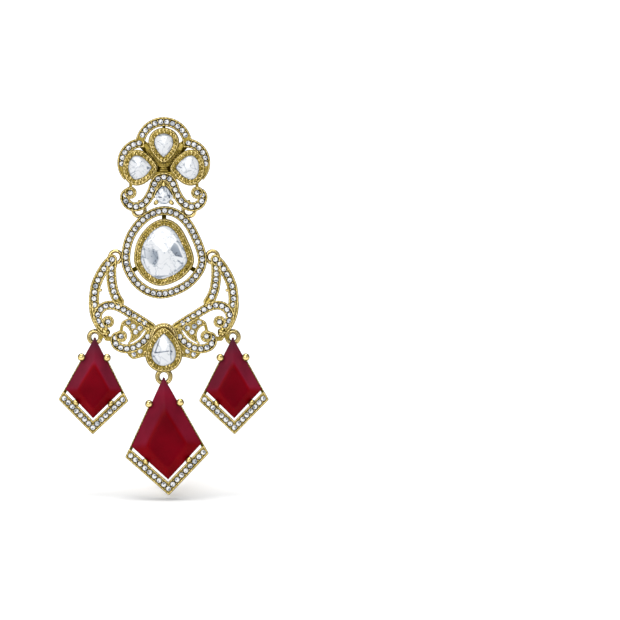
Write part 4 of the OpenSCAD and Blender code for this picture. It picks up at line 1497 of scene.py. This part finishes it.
    def stones(self) -> dict[str, Shell]:
        """The three flower stones and the arch stone, by the node that each stands for."""
        roof = ((25, 0.09), (100, 0.07), (170, 0.1), (235, 0.08), (310, 0.09))
        # Painted reflections: the grey facets listed below darken parts of each stone.
        cuts = {
            "polki_upper": (self.upper, Cut(11, roof, (0.2, 0.3), 0.42, (
                Grey(((-1.6, 3.9), (-0.4, 3.2), (0.3, 2.3)), 0.6, 0.16, line=0.14),
                Grey(((1.6, 2.8), (0.9, 1.2)), 0.68, 0.25, line=0.2),
                Grey(((-1.75, 1.7), (-1.4, 1.1)), 0.2, line=0.28),
                Grey(((-1.0, 5.15), (0.9, 5.25)), 0.5, 0.2, line=0.25)), 5)),
            "polki_left": (self.left, Cut(12, roof[::-1], (-0.3, 0.2), 0.42, (
                Grey(((-3.9, -2.0), (-3.0, -2.35), (-3.9, -2.8)), 0.3, 0.2),
                Grey(((-6.3, -1.4), (-4.85, -0.7), (-4.1, -1.4)), 0.55, 0.16, line=0.14),
                Grey(((-8.0, -3.8), (-5.8, -2.9), (-4.85, -4.1)), 0.62, 0.2, line=0.14),
                Grey(((-7.6, -0.3), (-6.6, -1.1)), 0.5, 0.2, line=0.3),
                Grey(((-5.9, -4.95), (-4.9, -4.9)), 0.2, line=0.25)), 8)),
            "polki_right": (self.right, Cut(12, roof, (0.3, -0.2), 0.42, (
                Grey(((4.5, -1.4), (5.3, -2.9), (4.9, -3.4), (6.3, -3.0)), 0.56, 0.2, line=0.16),
                Grey(((6.8, -0.9), (7.4, -2.6), (6.6, -3.9)), 0.6, 0.2, line=0.16),
                Grey(((3.4, -2.1), (4.1, -2.3)), 0.4, 0.2, line=0.3),
                Grey(((4.3, -4.2), (5.0, -4.7)), 0.35, line=0.3)), 11)),
            "arch_stone": (self.arch, Cut(10, roof, (0.0, -0.2), 0.5, (
                Grey(((-1.15, -9.1), (-0.6, -9.2)), 0.0, line=0.32),
                Grey(((-1.3, -7.9), (-1.05, -8.4)), 0.1, line=0.3),
                Grey(((0.6, -7.5), (1.15, -8.7), (0.8, -8.9)), 0.4, 0.2),
                Grey(((1.2, -8.7), (1.35, -9.3)), 0.1, line=0.28),
                Grey(((-1.5, -9.8), (-0.4, -10.5), (0.6, -10.6), (1.5, -9.9)), 0.5, 0.2, line=0.22),
                Grey(((0.1, -9.4), (0.5, -9.9), (-0.3, -10.1)), 0.45, 0.2),
                Grey(((-0.1, -6.9), (0.1, -7.6)), 0.3, 0.2, line=0.4)), 14)),
        }
        return {node: self.cut(outline, cut, 1.008 if node == "arch_stone" else 1.12, 18)
                for node, (outline, cut) in cuts.items()}

    def build(self, frame: dict, palette: Palette) -> None:
        """Builds and dresses the flower, the scroll and the post."""
        dress(frame, "top_frame", self.gold(palette, "flower_gold"))
        dress(frame, "ear_post", palette.cast("post_gold", -4.0, -1.0))
        worked({
            "flower_rims": self.rims(),
            "flower_foot_wires": self.foot_wires(),
            "flower_lips": self.lips(),
            "flower_ropes": self.ropes(),
            "hub_knot": self.hub_knot(),
            "arch_claws": self.arch_claws(),
            "flower_loops": self.loops(),
        }, palette, self.body)
        for node, shell in self.stones().items():
            piece("cut_" + node, shell, Finish.POLKI, palette, self.body, False, (node,))
        for seed, node in enumerate(("border_pave", "scroll_pave"), 21):
            set_row(frame, palette, node, self.body, self.rim_top, seed)


# Halo


@dataclass
class Halo(Layer):
    """Large stone with its bezel and halo, on the body middle."""

    body: str = "middle"
    back: float = -0.92
    width: float = 10.7
    length: float = 12.4
    drop: float = 21.95
    bezel_w: float = 1.46
    space: float = 1.05
    band_w: float = 2.0
    shares: tuple[Pair, ...] = (
        (0.03, 1), (-0.47, 0.8), (-0.87, 0.34), (-1, -0.16), (-0.94, -0.45), (-0.64, -0.81),
        (-0.14, -1), (0.55, -0.79), (0.95, -0.44), (1, -0.2), (0.81, 0.26), (0.47, 0.79))

    def __post_init__(self) -> None:
        """Works out the large stone's outline."""
        egg = np.array(self.shares) * [self.width / 2, self.length / 2] - [0, self.drop]
        self.egg = catmull(egg, 8, closed=True)

    def rims(self) -> Shell:
        """Rolled rims of the halo's band, and the smooth wire at the bezel's foot."""
        inner = self.bezel_w + self.space
        gaps = (inner + TRIM.rim_in, inner + self.band_w - TRIM.rim_in)
        foot = TRIM.rim(rounded(self.egg, self.bezel_w + 0.02), self.front + 0.7, width=0.3)
        return joined([TRIM.rim(rounded(self.egg, gap), self.rim_mid) for gap in gaps] + [foot])

    def lip(self) -> Shell:
        """Hammered lip of the large stone: a smooth outer ridge and two rows of grains inside it."""
        grained = Lip(self.bezel_w - 0.1, self.lip_top - 0.24, rows=(0.2, 0.58), pitch=0.8, seed=9)
        ridge = TRIM.rim(rounded(self.egg, self.bezel_w - 0.2), self.lip_top, width=0.4)
        return joined([grained.build(self.egg), ridge])

    def rings(self) -> Shell:
        """Bright wires of the two upper rings and the two side lugs."""
        right = ((5.8, -12.2), (11.26, -23.004))
        return joined([Wire((side * x, z), 1.37, 0.84).ring() for side in (-1, 1) for x, z in right])

    def stone(self) -> Shell:
        """The large stone: facets that meet a little right of its middle, two of them grey as painted
        reflections.
        """
        greys = (
            Grey(((2.37, -19.58), (3.21, -20.26), (4.40, -23.21), (2.70, -22.79), (1.51, -21.26)), 0.46, 0.14,
                 (0.06, 0.1)),
            Grey(((-4.79, -20.58), (-1.49, -21.67), (-1.2, -23.39), (-1.9, -25.2), (-3.4, -24.6),
                  (-4.79, -22.3)), 0.6, 0.6, (-0.14, 0.0)),
            Grey(((-4.7, -20.6), (-1.6, -21.6)), 0.6, 0.15, line=0.08),
            Grey(((1.51, -16.37), (2.19, -17.21), (1.86, -18.91), (1.35, -20.26)), 0.76, 0.25),
            Grey(((0.16, -20.77), (-0.16, -18.56)), 0.84, 0.35, line=0.2),
            Grey(((0.16, -22.0), (0.18, -22.1)), 0.5, 0.3, line=0.3),
            Grey(((3.05, -19.23), (4.72, -21.60)), 0.55, 0.25, line=0.35),
            Grey(((3.21, -23.79), (4.40, -24.65)), 0.5, 0.2, line=0.25),
            Grey(((3.37, -25.84), (4.40, -24.98)), 0.3, 0.2, line=0.3),
            Grey(((-4.55, -21.0), (-4.3, -23.2)), 0.55, 0.25, line=0.25),
            Grey(((-2.53, -27.45), (1.2, -27.3), (-1.19, -28.0)), 0.32, 0.3),
            Grey(((1.3, -27.0), (3.3, -25.9), (4.5, -24.4)), 0.62, 0.3, line=0.3),
            Grey(((-4.9, -22.6), (-4.3, -25.0), (-3.2, -26.7)), 0.6, 0.3, line=0.3),
            Grey(((-4.0, -19.0), (-2.9, -17.4), (-1.2, -16.4)), 0.72, 0.3, line=0.25),
            Grey(((0.4, -20.4), (1.6, -17.0)), 0.8, 0.25, line=0.14),
            Grey(((1.0, -22.6), (4.2, -23.9)), 0.84, 0.2, line=0.1),
            Grey(((-3.9, -18.6), (-2.6, -17.0)), 0.8, 0.3, line=0.2),
        )
        roof = ((8, 0.035), (62, 0.03), (118, 0.035), (178, 0.045), (236, 0.03), (292, 0.03))
        return self.cut(self.egg, Cut(13, roof, (0.16, -0.1), 0.24, greys, 4), 1.25, 40)

    def build(self, frame: dict, palette: Palette) -> None:
        """Builds and dresses the halo and the large stone."""
        dress(frame, "halo_frame", self.gold(palette, "halo_gold"))
        worked({
            "halo_rims": self.rims(),
            "large_lip": self.lip(),
            "halo_rings": self.rings(),
        }, palette, self.body)
        piece("cut_polki_large", self.stone(), Finish.POLKI, palette, self.body, False, ("polki_large",))
        set_row(frame, palette, "halo_pave", self.body, self.rim_top, 31)


# Crescent


@dataclass
class Crescent(Layer):
    """Pierced crescent with its centre pear, on the body crescent.

    The tables hold the right side as [share, share of the height]: a first share up to 1 is of the
    inner half width, and past 1 it runs across the crescent's side.
    """

    body: str = "crescent"
    back: float = 0.6
    eye_depth: float = 1.2
    inner: float = 11.26
    side_w: float = 6.2
    height: float = 25.37
    top: float = -24.274
    arm_w: float = 2.25
    curl_w: float = 2.0
    stone_w: float = 5.63
    stone_l: float = 7.5
    bezel_w: float = 1.28
    arm_outer: tuple[Pair, ...] = (
        (1.12, -0.027), (1.28, 0.012), (1.41, 0.054), (1.54, 0.106), (1.65, 0.161), (1.74, 0.221),
        (1.78, 0.28), (1.8, 0.335), (1.78, 0.39))
    arm_inner: tuple[Pair, ...] = (
        (1.12, -0.027), (1.15, 0.042), (1.15, 0.102), (1.14, 0.157), (1.11, 0.212), (1.06, 0.265),
        (0.98, 0.322), (0.92, 0.363))
    big_curl: tuple[Pair, ...] = (
        (0.26, 0.592), (0.39, 0.554), (0.54, 0.512), (0.66, 0.481), (0.76, 0.451), (0.87, 0.423),
        (0.98, 0.401), (1.19, 0.392), (1.41, 0.404), (1.58, 0.439), (1.67, 0.488), (1.63, 0.54),
        (1.47, 0.575), (1.27, 0.544))
    low_curl: tuple[Pair, ...] = (
        (0.88, 0.677), (0.98, 0.68), (1.02, 0.716), (0.97, 0.759), (0.87, 0.785), (0.75, 0.792),
        (0.63, 0.784), (0.51, 0.756), (0.41, 0.722), (0.33, 0.679), (0.28, 0.633))
    outer_edge: tuple[Pair, ...] = (
        (1.91, 0.372), (1.88, 0.455), (1.78, 0.533), (1.62, 0.604), (1.44, 0.656), (1.32, 0.693))
    fan: tuple[Pair, ...] = (
        (0.88, 0.574), (0.85, 0.542), (0.77, 0.523), (0.64, 0.5), (0.46, 0.519), (0.3, 0.578),
        (0.33, 0.603), (0.43, 0.636), (0.49, 0.675), (0.58, 0.709), (0.69, 0.737), (0.73, 0.746),
        (0.69, 0.702), (0.68, 0.656), (0.72, 0.61), (0.79, 0.583))
    foot: tuple[Pair, ...] = ((0.68, 0.812), (0.62, 0.846), (0.49, 0.832), (0.36, 0.825))
    knot: Pair = (1.36, 0.64)
    grain_pitch: float = 0.5
    grain_r: float = 0.21

    def __post_init__(self) -> None:
        """Works out the outlines and places that several pieces share."""
        self.stone_z = self.top - self.height * 0.8
        self.pear = pear(self.stone_w, self.stone_l, (0, self.stone_z), 0)
        self.leaf = catmull(self.line(self.fan), 4, closed=True)
        self.curl_ends = (self.line(self.big_curl)[-1], self.line(self.low_curl)[0])

    def line(self, table: tuple[Pair, ...]) -> Array:
        """A table's points as [x, z] on the right side."""
        s = np.array(table)
        x = np.where(s[:, 0] <= 1, s[:, 0] * self.inner, self.inner + (s[:, 0] - 1) * self.side_w)
        return np.stack([x, self.top - s[:, 1] * self.height], axis=1)

    def side_rims(self) -> Shell:
        """Rolled rims of the right side's arms, curls, leaf and plain edge."""
        bands = ((self.arm_outer, self.arm_w, 0.0), (self.arm_inner, self.arm_w, 0.0),
                 (self.big_curl, self.curl_w, 0.05), (self.low_curl, self.curl_w, 0.05))
        deep = self.rim_mid
        parts = [TRIM.band(catmull(self.line(table), 6), width, deep + rise) for table, width, rise in bands]
        parts += [TRIM.curl_end(end, self.curl_w, self.rim_top) for end in self.curl_ends]
        leaf = self.leaf[::-1] if area(self.leaf) < 0 else self.leaf
        edge = catmull(self.line(self.outer_edge), 6)
        foot = catmull(self.line(self.foot), 6) + [0, -0.75]
        return joined(parts + [
            TRIM.rim(rounded(leaf, -TRIM.rim_in), deep + 0.02),
            TRIM.rim(beside(edge, 0.27), deep, closed=False),
            TRIM.rim(beside(edge, -0.27), deep + 0.04, closed=False),
            TRIM.rim(foot, deep, closed=False),
        ])

    def knots(self) -> Shell:
        """Textured leaf knot on each side, at the foot of the plain edge: a ribbed ball.

        Formula: radius 1 + 0.13 |cos 2.5t| on a dome that faces the front, with t the angle round it. The
        ribs are toned lighter and the grooves darker, as painted light and shade.
        """
        ball = dome(30, 10, 0.9)
        ribs = np.abs(np.cos(2.5 * np.arctan2(ball.points[:, 2], ball.points[:, 0])))
        wide = 1 + 0.13 * ribs
        size = np.stack([wide, np.ones_like(wide), wide], axis=1)
        # Painted light and shade: lighter on the ribs, darker between them.
        ribbed = replace(ball, points=ball.points * size).toned(0.55 + 0.45 * ribs)
        return scattered(ribbed, space(both(self.line((self.knot,))), self.rim_top - 0.1), 0.95)

    def lip(self) -> Shell:
        """Hammered lip of the centre pear, its smooth outer wire and the one at its foot."""
        return joined([
            Lip(self.bezel_w - 0.05, self.lip_top - 0.2, pitch=0.8, seed=12).build(self.pear),
            TRIM.rim(rounded(self.pear, self.bezel_w - 0.14), self.lip_top - 0.02),
            TRIM.rim(rounded(self.pear, self.bezel_w + 0.05), self.front + 0.45, width=0.36),
        ])

    def hood(self) -> Shell:
        """Collar behind the pear: a rolled plate with a rim and a row of grains round it."""
        centre = (0.0, self.stone_z + self.stone_l * 0.375)
        radius = self.bezel_w + self.stone_w * 0.37
        plate = even(arc(centre, radius - 0.75, -14, 194, 60), 0.16)
        rim = arc(centre, radius - TRIM.rim_in, -20, 200, 70)
        grains = even(arc(centre, radius - 0.72, -14, 194, 60), 0.56)
        grains = grains[self.beyond_bezel(grains, 0.12)]
        return joined([
            sweep(plate, self.rim_top - 0.1, lip_profile(1.45, 0.34), False),
            TRIM.rim(rim, self.rim_top + 0.14, closed=False, width=0.4),
            scattered(dome(tall=1.1), space(grains, self.rim_top + 0.2), 0.29),
        ])

    def beyond_bezel(self, points: Array, gap: float) -> Array:
        """Which points lie outside the pear's bezel by at least this gap."""
        return nearest(points, self.pear) > self.bezel_w + gap

    def studs(self) -> Shell:
        """Beads on the outer arms and beside the centre bezel, and rings of beads at the curls' ends toned
        dark as painted shade.
        """
        single = both(np.array([[14.7, -30.74], [4.33, -45.14]]))
        parts = [scattered(dome(12, 5), space(single, self.rim_top - 0.08), 0.4)]
        for end in self.curl_ends:
            ring = both(circle(end, self.curl_w * TRIM.end_share - 0.58, 9))
            # Painted shade: the rings of beads are toned dark.
            parts.append(scattered(dome(), space(ring, self.rim_top + 0.02), 0.17).toned(0.5))
        return joined(parts)

    def grains(self, stones: Array) -> Shell:
        """Fine grains on the flats of the fans and the foot.

        Formula: beads on a grid of triangles, kept inside the fan's outline and along the foot's
        line, where they are clear of rims, bezel and stones.

        Args:
            stones: Middles of the crescent's small stones.

        Returns:
            The grains of both sides.
        """
        row, column = np.meshgrid(np.arange(26), np.arange(20), indexing="ij")
        x = 2.4 + self.grain_pitch * (column + 0.5 * (row % 2))
        z = -36.4 - self.grain_pitch * 0.866 * row
        points = np.stack([x, z], axis=2).reshape(-1, 2)
        to_leaf, to_foot, to_curl = (nearest(points, even(line, 0.1)) for line in (
            self.leaf, self.line(self.foot), self.line(self.low_curl)))
        in_leaf = inside(points, self.leaf) & (to_leaf > 0.42)
        in_foot = (to_foot < 0.6) & (to_curl > 1.25)
        clear = (nearest(points, stones) > 0.76) & self.beyond_bezel(points, 0.2)
        keep = both(points[(in_leaf | in_foot) & clear])
        return scattered(dome(tall=1.1), space(keep, self.rim_top - 0.02), self.grain_r)

    def plates(self) -> Shell:
        """Plain plates that close the bands past their last stones: a rolled profile along short lines."""
        parts = []
        for start, stop, width in (((11.0, -32.6), (9.95, -34.0), 1.5), ((4.3, -38.4), (2.4, -39.6), 1.3),
                                   ((3.8, -41.1), (3.2, -39.9), 1.6)):
            line = even(np.array([start, stop]), 0.1)
            plate = sweep(line, self.rim_top - 0.38, lip_profile(width, 0.3), False)
            parts += [plate, plate.flipped()]
        # Painted shade: the plates are toned darker.
        return joined(parts).toned(0.8)

    def eyes(self) -> Shell:
        """Bright wires of the three eyes, and of the two loops round the halo's lugs."""
        eyes = ((0.0, -50.8, 1.5), (16.034, -41.627, 1.32), (-16.034, -41.627, 1.32))
        rings = [Wire((x, z), radius, 1.06, self.eye_depth).ring() for x, z, radius in eyes]
        return joined(rings + [Wire((x, -24.374)).loop() for x in (-11.26, 11.26)])

    def stone(self) -> Shell:
        """The centre pear, with dark lines crossing it."""
        greys = (
            Grey(((-0.93, -42.23), (-2.05, -45.3), (1.16, -44.88)), 0.15, 0.2, line=0.22),
            Grey(((1.44, -43.35), (1.72, -46.98)), 0.3, 0.2, line=0.2),
            Grey(((1.7, -44.9), (1.85, -45.0)), 0.05, 0.15, line=0.35),
            Grey(((-2.4, -45.9), (-1.2, -47.6)), 0.5, 0.3, line=0.3),
            Grey(((0.2, -41.6), (1.0, -42.9)), 0.6, 0.3, line=0.3),
            Grey(((-0.6, -46.2), (1.0, -47.4)), 0.66, 0.3, line=0.2),
        )
        roof = ((20, 0.06), (95, 0.05), (165, 0.07), (240, 0.06), (300, 0.06))
        return self.cut(self.pear, Cut(12, roof, (0.1, -0.6), 0.34, greys, 17), 1.12, 26)

    def build(self, frame: dict, palette: Palette) -> None:
        """Builds and dresses the crescent."""
        dress(frame, "crescent_frame", self.gold(palette, "crescent_gold"))
        rims = self.side_rims()
        rows = ("crescent_pave_left", "crescent_pave_right")
        stones = np.vstack([stone_places(frame, node) for node in rows])
        worked({
            "crescent_rims_right": rims,
            "crescent_rims_left": rims.flipped(),
            "leaf_knots": self.knots(),
            "centre_lip": self.lip(),
            "collar": self.hood(),
            "crescent_studs": self.studs(),
            "crescent_plates": self.plates(),
            "crescent_grains": self.grains(stones),
            "crescent_eyes": self.eyes(),
        }, palette, self.body)
        piece("cut_crescent_stone", self.stone(), Finish.POLKI, palette, self.body, False,
              ("crescent_stone",))
        for seed, node in enumerate(rows, 41):
            set_row(frame, palette, node, self.body, self.rim_top, seed)


# Drops


@dataclass
class Drop:
    """One kite-shaped drop with its jewelled bar. Sizes are the CAD model's."""

    name: str
    hinge: Pair
    lean: float
    width: float
    up: float
    down: float
    eye_r: float
    kite_depth: float = 2.55
    crown: float = 1.9
    edge: float = 0.35
    back: float = 1.0
    slit: float = 0.44
    spread: float = 0.2
    lip: float = 0.26
    bar_w: float = 2.12
    prong_r: float = 0.8
    eye_depth: float = 1.2
    smoke: float = 0.0
    front_w: float = 0.56
    front_apex: float = 0.48
    front_corner: float = 0.985
    front_foot: float = 0.69

    @property
    def rim_top(self) -> float:
        """Depth of the tops of the bar's rims."""
        return self.kite_depth - 0.06 + 0.55

    def kite(self) -> Array:
        """Corners of the kite before it leans: apex, right, foot and left, about the hinge."""
        e, w = self.eye_r, self.width / 2
        return np.array([[0, e], [w, e - self.up], [0, e - self.up - self.down], [-w, e - self.up]])

    def inset(self, gap: float) -> Array:
        """The kite with its sides moved inwards by a gap, as a scaling about its inner circle."""
        half = self.width / 2
        upper, lower = math.hypot(half, self.up), math.hypot(half, self.down)
        r = half * (self.up + self.down) / (upper + lower)
        centre = np.array([0, self.eye_r - r * upper / half])
        return centre + (self.kite() - centre) * (1 - gap / r)

    def hung(self, line: Array) -> Array:
        """A line turned by the drop's lean and moved to its hinge."""
        a = math.radians(self.lean)
        turn = np.array([[math.cos(a), math.sin(a)], [-math.sin(a), math.cos(a)]])
        return line @ turn + np.array(self.hinge)

    def bar_edge(self, out: float, lip: float) -> Array:
        """Left end, foot and right end of a line along the bar.

        Formula: the ends lie where the lower side, moved out, meets the upper side, moved out by lip.

        Args:
            out: Distance outside the stone's foot.
            lip: Distance of its ends outside the stone's upper sides.

        Returns:
            The three points.
        """
        apex, right, foot, _ = self.kite()
        along = unit(right - apex)
        side, down = left_of(along), left_of(unit(foot - right))
        run = (out + self.spread - lip * (side @ down)) / (along @ down)
        end = right + lip * side + along * run
        return np.array([mirrored(end), self.inset(-out)[2], end])

    def bar_rims(self) -> Shell:
        """Rolled rims round the jewelled bar, and the thin walls up to the upper prongs."""
        ends = self.lip - TRIM.rim_in
        low = self.bar_edge(self.slit + TRIM.rim_in, ends)
        high = self.bar_edge(self.slit + self.bar_w - TRIM.rim_in, ends)
        bar = even(np.vstack([low, high[::-1]]), TRIM.step, closed=True)
        apex, right, _, _ = self.kite()
        way = unit(right - apex)
        wall = np.stack([apex + (right - apex) * 0.4, right + way * 0.5]) + left_of(way) * 0.17
        walls = [TRIM.rim(self.hung(even(line, 0.2)), self.kite_depth + 0.04, closed=False, width=0.24)
                 for line in (wall, mirrored(wall))]
        return joined([TRIM.rim(self.hung(bar), self.rim_top - 0.06)] + walls)

    def prongs(self) -> Shell:
        """Four prongs: the upper ones are balls, the lower ones tabs bent over the stone's edge.

        Formula of a tab: a dome 0.84 by 0.66 that lies along the edge, with shallow ribs across it, toned
        lighter on the ribs as a painted highlight.
        """
        tab = dome(18, 8)
        ribs = 1 + 0.06 * np.cos(tab.points[:, 0] * 9)
        size = np.stack([np.full(len(ribs), 0.84), ribs, np.full(len(ribs), 0.66)], axis=1)
        # Painted highlight: the tabs' ribs are toned lighter.
        tab = replace(tab, points=tab.points * size).toned(0.88 + 0.12 * (ribs > 1))
        apex, right, foot, _ = self.kite()
        parts = []
        seats = ((apex, right, 0.4, 0.41, self.prong_r * 1.08), (right, foot, 0.42, 0.4, 0.3))
        for a, b, share, reach, rise in seats:
            way = unit(b - a)
            middle = a + (b - a) * share + left_of(way) * reach
            for side in (1, -1):
                at = space(self.hung((middle * [side, 1])[None]), self.kite_depth + 0.35 + rise)
                turn = math.atan2(way[1], way[0] * side) - math.radians(self.lean)
                if a is apex:
                    parts.append(scattered(dome(16, 8), at, self.prong_r + 0.1))
                else:
                    parts.append(scattered(tab, at, 1.0, turn))
        return joined(parts)

    def stone(self) -> Shell:
        """The kite stone, with four slopes up to its flat front."""
        half = self.front_w * self.width / 2
        apex, corner, foot = (self.eye_r - drop for drop in (
            self.front_apex * self.up, self.front_corner * self.up, self.up + self.front_foot * self.down))
        front = np.array([[0, apex], [half, corner], [0, foot], [-half, corner]])
        corners = [self.hung(line) for line in (self.inset(0.02), front, self.inset(1.5))]
        depth = self.kite_depth
        depths = (depth - self.back, depth - 0.03, depth + self.edge, depth + self.crown)
        return kite_stone(*corners, depths, self.smoke)

    def build(self, frame: dict, palette: Palette) -> None:
        """Builds and dresses the drop."""
        body = "drop_" + self.name
        gold = palette.cast("drop_gold_" + self.name, self.kite_depth - 0.14, self.rim_top)
        dress(frame, "drop_frame_" + self.name, gold)
        worked({
            "bar_rims_" + self.name: self.bar_rims(),
            "prongs_" + self.name: self.prongs(),
            "drop_loop_" + self.name: Wire(self.hinge, 0.95, depth=self.eye_depth).loop(),
        }, palette, body)
        piece("cut_ruby_" + self.name, self.stone(), Finish.RUBY, palette, body, True, ("ruby_" + self.name,))
        set_row(frame, palette, "drop_pave_" + self.name, body, self.rim_top, 51 + len(self.name))


def drops() -> list[Drop]:
    """The three drops. The side ones differ in their place and lean only."""
    # The side drops' upper slopes get extra painted shade.
    side = {"width": 13.0, "up": 12.3, "down": 6.6, "eye_r": 1.32, "smoke": 0.16}
    return [
        Drop("left", (-16.034, -42.9471), -1.2, **side),
        Drop("centre", (0.0, -52.3), 2.6, width=16.3, up=15.9, down=8.05, eye_r=1.5),
        Drop("right", (16.034, -42.9471), 1.1, **side),
    ]


# Studio


@dataclass
class Studio:
    """Plain pale floor, soft lights and the camera at the photograph's angle.

    Attributes:
        px_mm: Picture points to the millimetre.
        frame_px: Width of the picture in points.
        middle_px: Picture point of the post's middle.
        distance: Camera's distance, in metres.
        floor_z: Height of the floor, in millimetres.
        floor_tilt: Tilt of the floor towards the camera, in degrees.
        lights: Name, place, width, radiance and the other side's share of the width, for each light.
    """

    px_mm: float = 4.3
    frame_px: float = 620.0
    middle_px: Pair = (164.0, 158.0)
    distance: float = 1.6
    floor_z: float = -78.6
    floor_tilt: float = 18.0
    lights: tuple[tuple[str, Triple, float, float, float], ...] = (
        ("key_light", (-0.9, -1.0, 0.5), 1.1, 1.5, 1.0),
        ("fill_light", (1.1, -0.9, 0.1), 0.9, 0.6, 1.0),
        ("top_light", (0.0, -0.1, 1.6), 1.42, 10.5, 0.4),
        ("front_light", (-0.25, -1.7, 0.45), 0.7, 4.4, 1.0))

    def floor(self) -> None:
        """Makes the pale floor."""
        mesh = bpy.data.meshes.new("floor")
        half = 3.0
        corners = [(-half, -half, 0), (half, -half, 0), (half, half, 0), (-half, half, 0)]
        mesh.from_pydata(corners, [], [(0, 1, 2, 3)])
        made, bench, shader = blank("floor_white")
        bench.feed(shader, {"Base Color": (0.93, 0.93, 0.93, 1), "Emission Color": (1.0, 1.0, 1.0, 1),
                            "Emission Strength": 0.1, "Roughness": 0.9, "Specular IOR Level": 0.0})
        mesh.materials.append(made)
        floor = bpy.data.objects.new("floor", mesh)
        floor.location = (0, 0, self.floor_z * MM)
        floor.rotation_euler = (math.radians(self.floor_tilt), 0, 0)
        bpy.context.scene.collection.objects.link(floor)

    def light(self, name: str, place: Triple, size: float, glow: float, deep: float) -> None:
        """Makes a soft light of this radiance that looks at the earring's middle.

        Args:
            name: Its name.
            place: Its middle, in metres.
            size: Its width.
            glow: Its radiance.
            deep: Its other side as a share of its width.
        """
        lamp = bpy.data.lights.new(name, "AREA")
        lamp.shape = "RECTANGLE"
        lamp.size, lamp.size_y = size, size * deep
        lamp.energy = glow * math.pi * size**2 * deep
        made = bpy.data.objects.new(name, lamp)
        made.location = place
        way = Vector((0, 0, -0.035)) - Vector(place)
        made.rotation_euler = way.to_track_quat("-Z", "Y").to_euler()
        bpy.context.scene.collection.objects.link(made)

    def build(self) -> None:
        """Builds the floor, the lights, the surroundings and the camera."""
        self.floor()
        world = bpy.data.worlds.new("surroundings")
        world.use_nodes = True
        world.node_tree.nodes["Background"].inputs["Color"].default_value = (1, 1, 1, 1)
        world.node_tree.nodes["Background"].inputs["Strength"].default_value = 0.28
        bpy.context.scene.world = world
        for name, place, size, glow, deep in self.lights:
            self.light(name, place, size, glow, deep)
        bpy.context.scene.view_settings.view_transform = "Standard"
        self.camera()

    def camera(self) -> None:
        """Makes the camera, level with the picture's middle, so that its scale is the photograph's."""
        data = bpy.data.cameras.new("camera")
        width = self.frame_px / self.px_mm * MM
        data.sensor_width = 36.0
        data.lens = data.sensor_width * self.distance / width
        data.clip_end = 20.0
        camera = bpy.data.objects.new("camera", data)
        half = self.frame_px / 2
        x = (half - self.middle_px[0]) / self.px_mm * MM
        z = (self.middle_px[1] - half) / self.px_mm * MM
        camera.location = (x, -self.distance, z)
        camera.rotation_euler = (math.radians(90), 0, 0)
        bpy.context.scene.collection.objects.link(camera)
        bpy.context.scene.camera = camera


def main() -> None:
    """Builds the earring's looks and the studio."""
    logging.basicConfig(level=logging.INFO, format="%(name)s %(message)s")
    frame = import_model()
    palette = Palette()
    for part in (FlowerHead(), Halo(), Crescent(), *drops()):
        part.build(frame, palette)
    Studio().build()


if __name__ == "__main__":
    main()
